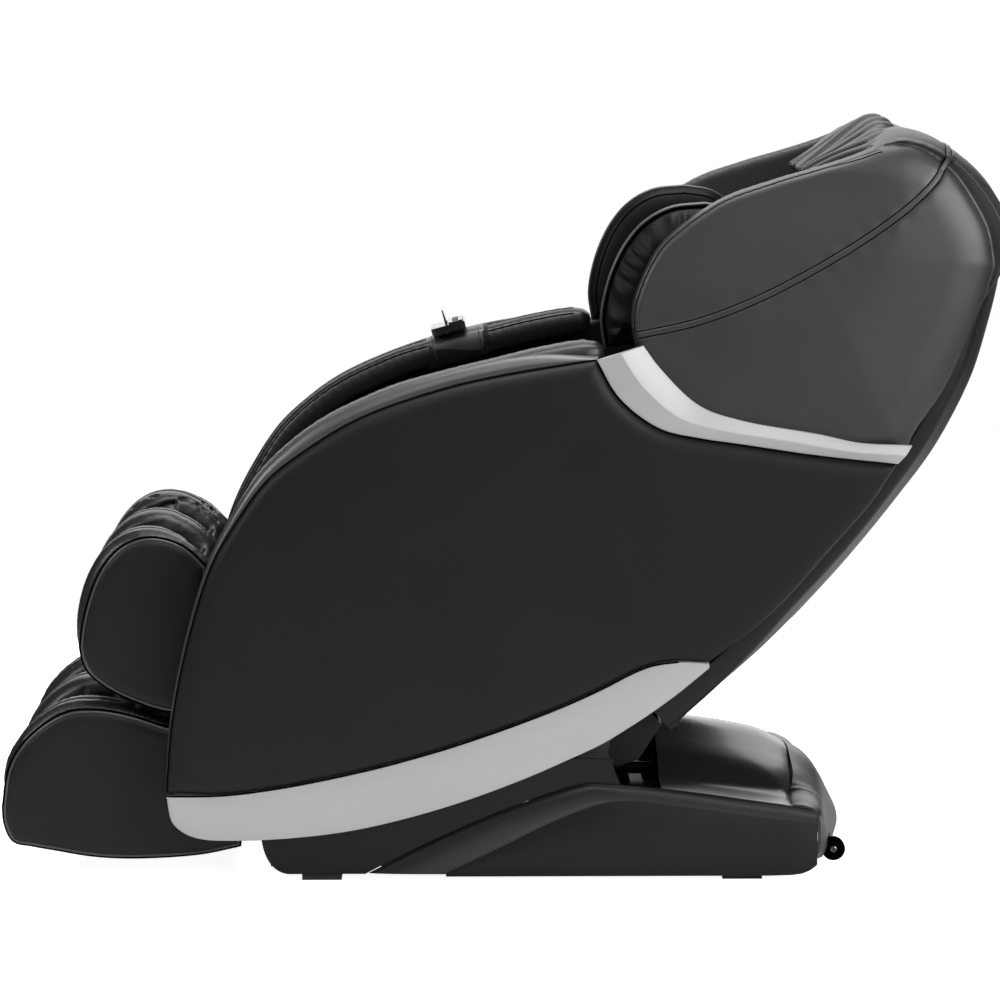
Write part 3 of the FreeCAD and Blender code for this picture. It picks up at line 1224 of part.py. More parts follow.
def tilt_rollers():
    x, z = PIVOT[0] + ROLLER_FROM_PIVOT[0], PIVOT[1] + ROLLER_FROM_PIVOT[1]
    wheels = pair(shaft(x, z, ROLLER_R, ROLLER_IN_Y, ROLLER_OUT_Y))
    return fused(wheels + [shaft(x, z, ROLLER_AXLE_R, -ROLLER_OUT_Y - 1, ROLLER_OUT_Y + 1)])


def glide_carriage():
    z0 = GLIDE_RAIL_Z + GLIDE_RAIL + 2
    z1 = z0 + CARRIAGE_BAR
    half = GLIDE_RAIL / 2 + 5
    x0, x1 = CARRIAGE_X
    inner, outer = GLIDE_RAIL_Y - half, GLIDE_RAIL_Y + half
    side = [box(x0, x1, inner, outer, z0, z1)]
    for x in (x0, x1 - 46):
        side.append(box(x, x + 46, inner, outer, GLIDE_RAIL_Z + 4, z0 + 1))
    lug = (CARRIAGE_LUG_IN_Y, CARRIAGE_LUG_IN_Y + CARRIAGE_LUG_THICK)
    side.append(polygon([(PIVOT[0] - 60, z1 - 1), (PIVOT[0] + 60, z1 - 1), (PIVOT[0] + PIVOT_LUG_R, PIVOT[1]),
                         (PIVOT[0] - PIVOT_LUG_R, PIVOT[1])], *lug))
    side.append(shaft(*PIVOT, PIVOT_LUG_R, *lug))
    whole = []
    for shape in side:
        whole += pair(shape)
    for x in (ROD_LUG_X, x1 - 22):
        whole.append(box(x, x + 20, -inner - 1, inner + 1, z0, z1))
    whole.append(box(ROD_LUG_X, ROD_LUG_X + 20, -14, 14, z1 - 1, ROD_Z + 14))
    carriage = fused(whole)
    fit = SLIDE_FIT
    for rail in glide_rails():
        b = rail.BoundBox
        carriage = carriage.cut(box(b.XMin, b.XMax, b.YMin - fit, b.YMax + fit, b.ZMin - 1, b.ZMax + fit))
    bore = shaft(*PIVOT, PIVOT_R + RUN_FIT, -CARRIAGE_LUG_IN_Y - 20, CARRIAGE_LUG_IN_Y + 20)
    return carriage.cut(bore)


def glide_rod():
    start = ROD_LUG_X + 20
    return Part.makeCylinder(ROD_R, GLIDE_ROD_LONG, V(start, 0, ROD_Z), V(1, 0, 0))


def glide_actuator():
    x0, x1 = GLIDE_TUBE_X
    tube = Part.makeCylinder(TUBE_R, x1 - x0, V(x0, 0, ROD_Z), V(1, 0, 0))
    bore = Part.makeCylinder(ROD_R + SLIDE_FIT, x1 - x0 - 10, V(x0, 0, ROD_Z), V(1, 0, 0))
    gear = box(x1 - 44, x1, -24, 24, ROD_Z - 24, ROD_Z + 20)
    motor = Part.makeCylinder(20, 96, V(x1 - 130, 0, ROD_Z - 45), V(1, 0, 0))
    yoke = box(x1 - 30, x1, -20, 20, BASE_RAIL_Z + BASE_TUBE, ROD_Z)
    web = box(x1 - 40, x1, -12, 12, ROD_Z - 60, ROD_Z)
    return fused([tube, gear, motor, yoke, web]).cut(bore)


def air_pump():
    x0, x1, y0, y1 = AIR_PUMP_BOX
    floor = BASE_RAIL_Z + BASE_TUBE
    body = box(x0, x1, y0, y1, floor, floor + AIR_PUMP_HIGH)
    body = body.makeFillet(8, upright_edges(body))
    ports = []
    for k in range(5):
        y = y0 + (k + 0.5) * (y1 - y0) / 5
        ports.append(Part.makeCylinder(4, 12, V(x0 + 1, y, floor + 40), V(-1, 0, 0)))
    return fused([body] + ports)


def control_box():
    x0, x1, y0, y1 = CONTROL_BOX
    floor = BASE_RAIL_Z + BASE_TUBE
    top = floor + CONTROL_HIGH
    body = box(x0, x1, y0, y1, floor, top)
    fins = []
    for k in range(7):
        y = y0 + 10 + k * (y1 - y0 - 20) / 6
        fins.append(box(x0 + 8, x1 - 8, y - 1.5, y + 1.5, top - 1, top + 8))
    return fused([body] + fins)


def side_plates():
    """The flat upper side plates of the base and the plate across its front."""
    top = SIDE_PLATE_TOP
    front = [(BASE_FRONT, top), (BASE_FRONT, 70), (BASE_FRONT + 6, 44), (BASE_FRONT + 19, 23),
             (BASE_FRONT + 42, SIDE_PLATE_TOE[1])]
    edge = [SIDE_PLATE_TOE] + SHOULDER_TOP[1:SHOULDER_PEAK]
    rear = [edge[-1], (SIDE_PLATE_REAR, edge[-1][1])]
    sides = [[front[0], front[1]], front[1:], [front[-1], edge[0]], edge, rear,
             [rear[-1], (SIDE_PLATE_REAR, top)], [(SIDE_PLATE_REAR, top), front[0]]]
    side = prism(sides, SIDE_PLATE_Y, SIDE_PLATE_Y + SIDE_PLATE_THICK)
    across = box(BASE_FRONT, BASE_FRONT + 4, -SIDE_PLATE_Y, SIDE_PLATE_Y, 70, 150)
    return pair(side) + [across]


def skirt():
    """The base's side walls and the rounded shoulder that rises from the floor and runs to the rear."""
    top, low = walk(SHOULDER_TOP, SKIRT_STATIONS), walk(SHOULDER_LOW, SKIRT_STATIONS)
    inner = SIDE_PLATE_Y + SIDE_PLATE_THICK + SEAM
    crown = (inner + SKIRT_Y) / 2 + SKIRT_CROWN
    back = SKIRT_Y - SKIRT_WALL / 2
    sections = []
    for (ax, az), (bx, bz) in zip(top, low):
        mx, mz = ax + (bx - ax) * SKIRT_CROWN_SHARE, az + (bz - az) * SKIRT_CROWN_SHARE
        cx, cz = bx + (bx - ax) * SKIRT_LAP, bz + (bz - az) * SKIRT_LAP
        sections.append([(ax, inner, az), (mx, crown, mz), (bx, SKIRT_Y, bz), (cx, back, cz), (cx, inner, cz)])
    toe = (low[0][0] - SKIRT_TOE, FLOOR_CLEAR)
    wall = polygon(low + SKIRT_HEEL + [toe], SKIRT_Y - SKIRT_WALL, SKIRT_Y)
    return pair(fused([strip(sections, True), wall]))


def hump_cover():
    """The glossy dome over the motors and the deck round it."""
    rings = []
    deck = SIDE_PLATE_Y + SIDE_PLATE_THICK
    for out, share in HUMP_STATIONS:
        top = blend_lines(DECK_LINE, DOME_LINE, share)
        low = [(x, z - COVER_WALL) for x, z in top][::-1]
        rings.append(ring([top, [top[-1], low[0]], low, [low[-1], top[0]]], out * deck))
    return Part.makeLoft(rings, True, False)


def rear_cap():
    """The round end of the base, from the hump down to the floor gap and round to the side walls."""
    rings = []
    for out, share, rise in CAP_STATIONS:
        outer = blend_lines(CAP_LINE, CAP_EDGE, share)
        lip, crest = blend_lines(CAP_EDGE, CAP_LINE, rise)[:2]
        outer[0] = lip
        outer[1] = (outer[1][0], (outer[1][1] + crest[1]) / 2)
        inner = shifted(outer, -COVER_WALL)[::-1]
        rings.append(ring([outer, [outer[-1], inner[0]], inner, [inner[-1], outer[0]]], out * SKIRT_Y))
    cap = Part.makeLoft(rings, True, False)
    for corner in pair(box(0, CAP_FRONT_X, SIDE_PLATE_Y + SIDE_PLATE_THICK, SKIRT_Y + 1, 0, DOME_LINE[0][1])):
        cap = cap.cut(corner)
    for y in (WHEEL_Y, -WHEEL_Y):
        half = WHEEL_WIDE / 2 + 12
        cap = cap.cut(box(WHEEL[0] - 60, WHEEL[0] + 60, y - half, y + half, 0, WHEEL[1] + WHEEL_R + 4))
    cap = cap.cut(box(WHEEL[0] - 30, WHEEL[0] + 60, -INLET[0] / 2 - 1, INLET[0] / 2 + 1, 0, INLET[1] + 12))
    for dx in (0.0, SEAM):
        dome = hump_cover()
        dome.translate(V(dx, 0, 0))
        cap = cap.cut(dome)
    return cap


def power_panel():
    """A recessed panel with the mains inlet, low at the back."""
    wide, high = INLET
    x1 = POWER_PANEL_X
    body = box(x1 - 24, x1, -wide / 2, wide / 2, BASE_RAIL_Z + 4, BASE_RAIL_Z + 4 + high)
    z = BASE_RAIL_Z + 4 + high / 2
    y = -wide / 4
    socket = box(x1 - 16, x1 + 1, y - 13, y + 13, z - 9, z + 9)
    pins = [box(x1 - 20, x1 - 6, y + k * 7 - 1, y + k * 7 + 1, z - 3, z + 3) for k in (-1, 0, 1)]
    window = box(x1 - 14, x1 + 1, SWITCH_Y - 10, SWITCH_Y + 10, z - 7, z + 7)
    arm = box(BASE_CROSS_X[3] + BASE_TUBE, x1 - 23, -12, 12, BASE_RAIL_Z + 4, BASE_RAIL_Z + 14)
    return fused([body.cut(socket).cut(window), arm] + pins)


def power_switch():
    wide, high = INLET
    x1 = POWER_PANEL_X
    z = BASE_RAIL_Z + 4 + high / 2
    rocker = [(x1 - 9, z - 5.8), (x1 + 3, z - 5.8), (x1 + 0.6, z), (x1 + 3, z + 5.8), (x1 - 9, z + 5.8)]
    return polygon(rocker, SWITCH_Y - 9.4, SWITCH_Y + 9.4)


def feet():
    long, wide, high = FOOT_SIZE
    made = []
    for x in FOOT_X:
        pads = box(x - long / 2, x + long / 2, BASE_RAIL_Y - 12, BASE_RAIL_Y - 12 + wide, 0, high)
        made += pair(pads)
    return made


def wheel_brackets():
    x, z = WHEEL
    half = WHEEL_WIDE / 2
    y0, y1 = WHEEL_Y - half - 5, WHEEL_Y - half - 1
    base = BASE_FRAME_REAR
    arm = [beam((base - 2, z), (x, z), y0, y1, 18), shaft(x, z, 9, y0, y1),
           box(base, base + 4, y0, WHEEL_Y + half, BASE_RAIL_Z, BASE_RAIL_Z + BASE_TUBE),
           shaft(x, z, WHEEL_AXLE_R, y0, WHEEL_Y + half + 3)]
    return pair(fused(arm))


def transport_wheel():
    x, z = WHEEL
    half = WHEEL_WIDE / 2
    wheel = shaft(x, z, WHEEL_R, WHEEL_Y - half, WHEEL_Y + half)
    wheel = wheel.makeFillet(3, round_edges(wheel))
    return wheel.cut(shaft(x, z, WHEEL_AXLE_R + RUN_FIT, WHEEL_Y - half - 1, WHEEL_Y + half + 1))


def sided(name, shape):
    """A right-hand piece and its mirror image, as two nodes."""
    return {name + "_right": shape, name + "_left": mirrored(shape)}


def build():
    nodes = {}
    for name, maker in (("side_panel", side_panel), ("lower_trim", lower_trim), ("upper_trim", upper_trim),
                        ("shoulder_wing", shoulder_wing), ("arm_roll", arm_roll),
                        ("transport_wheel", transport_wheel)):
        nodes.update(sided(name, maker()))
    nodes["side_rims"] = pair(side_rim())
    nodes["hood"] = hood()
    nodes["back_cover"] = back_cover()
    nodes["underbody_cover"] = underbody_cover()
    nodes["seat_cushion"] = seat_cushion()
    nodes["back_cushion"] = back_cushion()
    nodes["head_pillow"] = head_pillow()
    nodes["pillow_strap"] = pillow_strap(nodes["hood"])
    nodes["arm_pads"] = pair(arm_pad())
    nodes["remote_band"] = remote_band()
    nodes["remote_cradle"] = remote_cradle()
    nodes["handset"] = handset()
    for k, name in enumerate(KEY_NAMES):
        nodes[name] = key(k)
    nodes["seat_frame"] = seat_frame()
    nodes["massage_rails"] = pair(massage_rail().fuse(rack()))
    nodes["massage_carriage"] = massage_carriage()
    nodes["pinion_shaft"] = pinion_shaft()
    nodes["roller_arms"] = roller_arms()
    nodes["upper_rollers"] = massage_rollers(1)
    nodes["lower_rollers"] = massage_rollers(-1)
    nodes["leg_actuator"] = leg_actuator()
    nodes["leg_rod"] = leg_rod()
    nodes["calf_frame"] = calf_frame()
    nodes["calf_pads"] = calf_pads()
    nodes["calf_covers"] = pair(leg_cover(CALF_COVER))
    nodes["foot_pads"] = foot_pads()
    nodes["foot_covers"] = pair(leg_cover(FOOT_COVER))
    nodes["foot_guides"] = foot_guides()
    nodes["foot_rollers"] = foot_rollers()
    nodes["base_frame"] = base_frame()
    nodes["glide_rails"] = glide_rails()
    nodes["cam_plates"] = pair(cam_plate())
    nodes["tilt_rollers"] = tilt_rollers()
    nodes["glide_carriage"] = glide_carriage()
    nodes["glide_rod"] = glide_rod()
    nodes["glide_actuator"] = glide_actuator()
    nodes["air_pump"] = air_pump()
    nodes["control_box"] = control_box()
    nodes["base_side_plates"] = side_plates()
    nodes["base_skirt"] = skirt()
    nodes["hump_cover"] = hump_cover()
    nodes["rear_cap"] = rear_cap()
    nodes["power_panel"] = power_panel()
    nodes["power_switch"] = power_switch()
    nodes["base_feet"] = feet()
    nodes["wheel_brackets"] = wheel_brackets()
    return nodes


os.makedirs("parts", exist_ok=True)
for name, made in build().items():
    shape = Part.makeCompound(made) if isinstance(made, list) else made
    shape.exportStep("parts/" + name + ".step")
    span = shape.BoundBox
    print(name, "ok" if shape.isValid() else "NOT VALID", len(shape.Solids), "solids", round(shape.Volume / 1e6, 3),
          "litres, x", round(span.XMin), round(span.XMax), "y", round(span.YMin), round(span.YMax),
          "z", round(span.ZMin), round(span.ZMax))
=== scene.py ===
"""Dressed model of a cocoon massage chair, over its CAD frame.

Sizes are in millimetres, in side views written (x, z), as in the part's source. The sitter faces -X, and the
sitter's left is at -Y.
"""
import sys
import logging
import math
from dataclasses import dataclass
from enum import Enum
from typing import Any, Callable, Iterable, Sequence

import bmesh
import bpy
import numpy as np
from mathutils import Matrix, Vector
from mathutils.bvhtree import BVHTree
from mathutils.kdtree import KDTree


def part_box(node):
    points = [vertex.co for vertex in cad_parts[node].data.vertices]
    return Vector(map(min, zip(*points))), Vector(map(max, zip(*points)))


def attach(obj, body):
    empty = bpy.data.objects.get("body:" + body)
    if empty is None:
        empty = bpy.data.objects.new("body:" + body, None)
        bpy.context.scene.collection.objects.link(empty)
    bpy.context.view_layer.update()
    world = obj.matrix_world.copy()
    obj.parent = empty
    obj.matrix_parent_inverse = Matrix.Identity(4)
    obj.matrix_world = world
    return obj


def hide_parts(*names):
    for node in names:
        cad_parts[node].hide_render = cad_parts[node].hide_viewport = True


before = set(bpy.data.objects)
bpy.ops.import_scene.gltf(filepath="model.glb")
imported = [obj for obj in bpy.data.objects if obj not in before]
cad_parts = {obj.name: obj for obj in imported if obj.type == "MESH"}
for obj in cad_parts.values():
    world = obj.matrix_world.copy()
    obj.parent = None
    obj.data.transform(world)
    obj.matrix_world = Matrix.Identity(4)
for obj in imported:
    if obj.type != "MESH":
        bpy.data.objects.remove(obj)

log = logging.getLogger("chair")

MM = 0.001
Flat = tuple[float, float]
Place = tuple[float, float, float]


class Side(Enum):
    """The sitter's two sides, by the sign of Y."""

    LEFT = -1
    RIGHT = 1

    @property
    def tag(self) -> str:
        """The word used in piece names."""
        return self.name.lower()


# Lines and outlines

def walk(points: Sequence[Sequence[float]], count: int) -> list[tuple[float, ...]]:
    """Points spaced evenly along the smooth line through the given ones.

    Args:
        points: points of two or three coordinates.
        count: how many points to return.

    Returns:
        The new points, from the first given one to the last.
    """
    knots = np.array(points, dtype=float)
    if len(knots) > 2:
        ends = [2 * knots[0] - knots[1], 2 * knots[-1] - knots[-2]]
        spread = np.vstack([ends[0], knots, ends[1]])
        fine = []
        for i in range(1, len(spread) - 2):
            a, b, c, d = spread[i - 1], spread[i], spread[i + 1], spread[i + 2]
            gaps = [max(float(np.linalg.norm(q - p)), 1e-6) ** 0.5 for p, q in ((a, b), (b, c), (c, d))]
            m0 = ((b - a) / gaps[0] - (c - a) / (gaps[0] + gaps[1]) + (c - b) / gaps[1]) * gaps[1]
            m1 = ((c - b) / gaps[1] - (d - b) / (gaps[1] + gaps[2]) + (d - c) / gaps[2]) * gaps[1]
            for t in np.linspace(0.0, 1.0, 24, endpoint=False):
                fine.append((2 * t**3 - 3 * t**2 + 1) * b + (t**3 - 2 * t**2 + t) * m0
                            + (3 * t**2 - 2 * t**3) * c + (t**3 - t**2) * m1)
        fine.append(knots[-1])
        knots = np.array(fine)
    steps = np.concatenate([[0.0], np.cumsum(np.linalg.norm(np.diff(knots, axis=0), axis=1))])
    wanted = np.linspace(0.0, steps[-1], count)
    return [tuple(float(np.interp(w, steps, knots[:, k])) for k in range(knots.shape[1])) for w in wanted]


def lefts(points: Sequence[Flat]) -> list[Flat]:
    """The left-hand unit normals of a side-view line."""
    made = []
    last = len(points) - 1
    for i in range(len(points)):
        a, b = points[max(i - 1, 0)], points[min(i + 1, last)]
        dx, dz = b[0] - a[0], b[1] - a[1]
        size = math.hypot(dx, dz) or 1.0
        made.append((-dz / size, dx / size))
    return made


def shifted(points: Sequence[Flat], distance: float) -> list[Flat]:
    """A side-view line moved to its left by a distance."""
    return [(x + n[0] * distance, z + n[1] * distance) for (x, z), n in zip(points, lefts(points))]


def blend(a: Sequence[Flat], b: Sequence[Flat], share: float) -> list[Flat]:
    """A line between two lines with as many points: share 0 is a, 1 is b."""
    return [(p[0] + (q[0] - p[0]) * share, p[1] + (q[1] - p[1]) * share) for p, q in zip(a, b)]


def crossing(a: Flat, b: Flat, c: Flat, d: Flat) -> Flat | None:
    """Where the pieces of line a-b and c-d cross, if they do."""
    rx, rz, qx, qz = b[0] - a[0], b[1] - a[1], d[0] - c[0], d[1] - c[1]
    area = rx * qz - rz * qx
    if abs(area) < 1e-12:
        return None
    t = ((c[0] - a[0]) * qz - (c[1] - a[1]) * qx) / area
    u = ((c[0] - a[0]) * rz - (c[1] - a[1]) * rx) / area
    return (a[0] + t * rx, a[1] + t * rz) if 0 <= t <= 1 and 0 <= u <= 1 else None


@dataclass(frozen=True)
class Outline:
    """A closed side-view outline whose sides meet at corners."""

    sides: tuple[tuple[Flat, ...], ...]

    def inset(self, distance: float) -> list[Flat]:
        """The outline moved inwards, with mitred corners.

        Args:
            distance: how far, in millimetres; outwards where it is negative.

        Returns:
            The loop's points, with the last one not repeated.
        """
        loop = [p for side in self.sides for p in side[:-1]]
        area = sum(a[0] * b[1] - b[0] * a[1] for a, b in zip(loop, loop[1:] + loop[:1]))
        moved = [shifted(side, distance if area > 0 else -distance) for side in self.sides]
        ends = [self.corner(moved[k - 1], moved[k]) for k in range(len(moved))]
        for k, (cut, start, spot) in enumerate(ends):
            before, here = moved[k - 1], moved[k]
            before[cut:] = [spot] * (len(before) - cut)
            here[:start] = [spot] * start
        return [p for side in moved for p in side[:-1]]

    def corner(self, before: list[Flat], here: list[Flat]) -> tuple[int, int, Flat]:
        """Where two moved sides meet.

        Args:
            before: the side that ends at the corner.
            here: the side that starts there.

        Returns:
            The first point of the one side and the number of points of the other that the meeting point
            replaces, and that point.
        """
        reach = 24
        for i in range(len(before) - 2, max(len(before) - reach, -1), -1):
            for j in range(min(len(here) - 1, reach)):
                spot = crossing(before[i], before[i + 1], here[j], here[j + 1])
                if spot:
                    return i + 1, j + 1, spot
        (ax, az), (bx, bz) = before[-1], here[0]
        (px, pz), (qx, qz) = before[-2], here[1]
        size, far = math.dist(before[-1], before[-2]), 4 * math.dist(before[-1], here[0])
        tip = (ax + (ax - px) * far / max(size, 1e-6), az + (az - pz) * far / max(size, 1e-6))
        size = math.dist(here[0], here[1])
        root = (bx + (bx - qx) * far / max(size, 1e-6), bz + (bz - qz) * far / max(size, 1e-6))
        spot = crossing(before[-1], tip, root, here[0]) or ((ax + bx) / 2, (az + bz) / 2)
        return len(before) - 1, 1, spot


def outline(step: float, *sides: Sequence[Flat]) -> Outline:
    """An outline with points about every step along its sides.

    Args:
        step: spacing in millimetres.
        sides: lines that meet end to end.

    Returns:
        The outline.
    """
    dense = []
    for side in sides:
        length = sum(math.dist(a, b) for a, b in zip(side, side[1:]))
        dense.append(tuple(walk(side, max(2, round(length / step) + 1))))
    return Outline(tuple(dense))


# Meshes

def piece(name: str, verts: Iterable[Place], faces: Iterable[Sequence[int]],
          sharp: float = 40.0) -> bpy.types.Object:
    """An object from points in millimetres.

    Args:
        name: the object's name.
        verts: the points.
        faces: the faces, as point numbers.
        sharp: edges that turn by more degrees than this stay sharp.

    Returns:
        The object, linked to the scene, with its faces turned outwards.
    """
    mesh = bpy.data.meshes.new(name)
    mesh.from_pydata([(x * MM, y * MM, z * MM) for x, y, z in verts], [], list(faces))
    work = bmesh.new()
    work.from_mesh(mesh)
    bmesh.ops.remove_doubles(work, verts=work.verts, dist=2e-5)
    bmesh.ops.recalc_face_normals(work, faces=work.faces)
    for face in work.faces:
        face.smooth = True
    for edge in work.edges:
        edge.smooth = not (len(edge.link_faces) == 2 and edge.calc_face_angle(0.0) > math.radians(sharp))
    work.to_mesh(mesh)
    work.free()
    made = bpy.data.objects.new(name, mesh)
    bpy.context.scene.collection.objects.link(made)
    return made


def skin(name: str, rows: Sequence[Sequence[Place]], closed: bool = True, capped: bool = True,
         sharp: float = 40.0) -> bpy.types.Object:
    """A surface through rows with as many points each.

    Args:
        name: the object's name.
        rows: the rows of points.
        closed: the last point of a row joins its first.
        capped: the first and last rows are filled.
        sharp: edges that turn by more degrees than this stay sharp.

    Returns:
        The object.
    """
    wide = len(rows[0])
    verts = [p for row in rows for p in row]
    faces: list[Sequence[int]] = []
    span = wide if closed else wide - 1
    for r in range(len(rows) - 1):
        for c in range(span):
            d = (c + 1) % wide
            faces.append((r * wide + c, r * wide + d, (r + 1) * wide + d, (r + 1) * wide + c))
    if capped and closed:
        faces.append(tuple(range(wide)))
        faces.append(tuple(range((len(rows) - 1) * wide, len(rows) * wide)))
    return piece(name, verts, faces, sharp)


def coords(mesh: bpy.types.Mesh) -> np.ndarray:
    """A mesh's points as an array, in metres."""
    flat = np.empty(len(mesh.vertices) * 3, dtype=np.float32)
    mesh.vertices.foreach_get("co", flat)
    return flat.reshape(-1, 3).astype(float)


def point_normals(mesh: bpy.types.Mesh) -> np.ndarray:
    """A mesh's point normals as an array."""
    flat = np.empty(len(mesh.vertices) * 3, dtype=np.float32)
    mesh.vertex_normals.foreach_get("vector", flat)
    return flat.reshape(-1, 3).astype(float)


def set_coords(mesh: bpy.types.Mesh, points: np.ndarray) -> None:
    """Moves a mesh's points.

    Args:
        mesh: the mesh.
        points: the new points, in metres.
    """
    mesh.vertices.foreach_set("co", points.astype(np.float32).ravel())
    mesh.update()


def settled(obj: bpy.types.Object) -> None:
    """Applies an object's modifiers."""
    bpy.context.view_layer.update()
    shaped = bpy.data.meshes.new_from_object(obj.evaluated_get(bpy.context.evaluated_depsgraph_get()))
    obj.modifiers.clear()
    old = obj.data
    obj.data = shaped
    bpy.data.meshes.remove(old)
    for face in obj.data.polygons:
        face.use_smooth = True


def copied(name: str, *nodes: str) -> bpy.types.Object:
    """A new object with copies of CAD nodes' meshes.

    Args:
        name: the new object's name.
        nodes: the CAD nodes.

    Returns:
        The object.
    """
    work = bmesh.new()
    for node in nodes:
        work.from_mesh(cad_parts[node].data)
    bmesh.ops.remove_doubles(work, verts=work.verts, dist=1e-5)
    mesh = bpy.data.meshes.new(name)
    work.to_mesh(mesh)
    work.free()
    made = bpy.data.objects.new(name, mesh)
    bpy.context.scene.collection.objects.link(made)
    return made


def creased(obj: bpy.types.Object, sharp: float) -> bpy.types.Object:
    """Shades an object smoothly, but for its sharp edges.

    Args:
        obj: the object.
        sharp: edges that turn by more degrees than this stay sharp.

    Returns:
        The same object.
    """
    kept = obj.data.attributes.get("custom_normal")
    if kept:
        obj.data.attributes.remove(kept)
    work = bmesh.new()
    work.from_mesh(obj.data)
    for face in work.faces:
        face.smooth = True
    for edge in work.edges:
        edge.smooth = not (len(edge.link_faces) == 2 and edge.calc_face_angle(0.0) > math.radians(sharp))
    work.to_mesh(obj.data)
    work.free()
    return obj


def remeshed(obj: bpy.types.Object, voxel: float) -> bpy.types.Object:
    """Gives an object one even closed skin.

    Args:
        obj: the object.
        voxel: the size of its faces, in millimetres.

    Returns:
        The same object.
    """
    even = obj.modifiers.new("even", "REMESH")
    even.mode = "VOXEL"
    even.voxel_size = voxel * MM
    settled(obj)
    return obj


def relaxed(obj: bpy.types.Object, rounds: int, share: float = 0.5) -> bpy.types.Object:
    """Draws each point towards the middle of its neighbours, then back a little, so the form keeps its size.

    Args:
        obj: the object.
        rounds: how many times.
        share: how far each time.

    Returns:
        The same object.
    """
    mesh = obj.data
    points = coords(mesh)
    edges = np.empty(len(mesh.edges) * 2, dtype=np.int64)
    mesh.edges.foreach_get("vertices", edges)
    a, b = edges[::2], edges[1::2]
    count = np.bincount(edges, minlength=len(points)).astype(float)[:, None]
    for _ in range(rounds):
        for step in (share, -share * 0.92):
            total = np.zeros_like(points)
            np.add.at(total, a, points[b])
            np.add.at(total, b, points[a])
            points = points + step * (total / np.maximum(count, 1) - points)
    set_coords(mesh, points)
    return obj


def refined(obj: bpy.types.Object) -> bpy.types.Object:
    """Divides an object's faces once."""
    finer = obj.modifiers.new("finer", "SUBSURF")
    finer.levels = finer.render_levels = 1
    settled(obj)
    return obj


def inflated(obj: bpy.types.Object, cap: float, pressure: float = 4.0, frames: int = 20,
             held: Callable[[np.ndarray], np.ndarray] | None = None) -> bpy.types.Object:
    """Fills a cushion's cover by cloth pressure, and keeps the result.

    Args:
        obj: the cushion, with even faces.
        cap: the furthest that a point may move, in millimetres.
        pressure: the pressure in the cover.
        frames: how long it is blown up.
        held: gives each point's hold from 0 to 1, where the cover rests on what carries it.

    Returns:
        The same object.
    """
    before = coords(obj.data)
    cloth = obj.modifiers.new("filled", "CLOTH")
    cloth.settings.quality = 5
    cloth.settings.mass = 0.3
    cloth.settings.use_pressure = True
    cloth.settings.uniform_pressure_force = pressure
    cloth.settings.tension_stiffness = cloth.settings.compression_stiffness = 15
    cloth.settings.bending_stiffness = 2.0
    cloth.settings.effector_weights.gravity = 0.0
    if held is not None:
        group = obj.vertex_groups.new(name="held")
        for i, weight in enumerate(held(before / MM)):
            if weight > 0:
                group.add([i], float(weight), "REPLACE")
        cloth.settings.vertex_group_mass = group.name
    cloth.point_cache.frame_start = 1
    cloth.point_cache.frame_end = frames
    for number in range(1, frames + 1):
        bpy.context.scene.frame_set(number)
    settled(obj)
    bpy.context.scene.frame_set(1)
    after = coords(obj.data)
    moved = after - before
    size = np.linalg.norm(moved, axis=1, keepdims=True)
    limit = cap * MM
    set_coords(obj.data, before + moved * np.minimum(1.0, limit / np.maximum(size, 1e-9)))
    return obj


def tree(points: Sequence[Place]) -> KDTree:
    """A search tree over points in millimetres."""
    made = KDTree(len(points))
    for i, p in enumerate(points):
        made.insert(Vector(p) * MM, i)
    made.balance()
    return made


def grooved(obj: bpy.types.Object, lines: Sequence[Sequence[Place]], depth: float, wide: float,
            pucker: float = 0.0, pitch: float = 13.0) -> bpy.types.Object:
    """Sinks an object's skin along sewn lines.

    Args:
        obj: the object.
        lines: the lines, with points every few millimetres.
        depth: depth of the groove; negative raises a ridge.
        wide: half width of the groove.
        pucker: height of the small folds beside the seam.
        pitch: distance between those folds.

    Returns:
        The same object.
    """
    points = [p for line in lines for p in line]
    along = [float(i) * math.dist(line[0], line[1]) for line in lines for i in range(len(line))]
    near = tree(points)
    mesh = obj.data
    spots, outward = coords(mesh), point_normals(mesh)
    reach = max(wide * 3, pitch * 2 if pucker else 0) * MM
    for i in range(len(spots)):
        _, index, distance = near.find(spots[i])
        if distance is None or distance > reach:
            continue
        d = distance / MM
        drop = depth * math.exp(-((d / wide) ** 2))
        fold = pucker * math.sin(2 * math.pi * along[index] / pitch + 2.0 * math.sin(along[index] / 31.0))
        fold *= math.exp(-((d / pitch) ** 2)) * min(d / wide, 1.0)
        spots[i] -= outward[i] * (drop + fold) * MM
    set_coords(mesh, spots)
    return obj


def surface(obj: bpy.types.Object) -> BVHTree:
    """An object's surface, for laying lines on it."""
    return BVHTree.FromPolygons([v.co[:] for v in obj.data.vertices], [p.vertices[:] for p in obj.data.polygons])


def laid(skin_tree: BVHTree, line: Sequence[Place], lift: float) -> list[Place]:
    """A line moved onto the nearest spots of a surface.

    Args:
        skin_tree: the surface.
        line: the line's points.
        lift: how far above the surface it lies.

    Returns:
        The line on the surface.
    """
    made = []
    for p in line:
        spot, normal, _, _ = skin_tree.find_nearest(Vector(p) * MM)
        made.append(tuple((spot + normal * lift * MM) / MM))
    return made


Spot = tuple[Vector, Vector]


def spots_on(skin_tree: BVHTree, line: Sequence[Place]) -> list[Spot]:
    """A line's places on a surface with the surface's normals.

    Args:
        skin_tree: the surface.
        line: the line's points.

    Returns:
        The places and normals, in millimetres.
    """
    made = []
    for p in line:
        spot, normal, _, _ = skin_tree.find_nearest(Vector(p) * MM)
        made.append((spot / MM, normal))
    return made


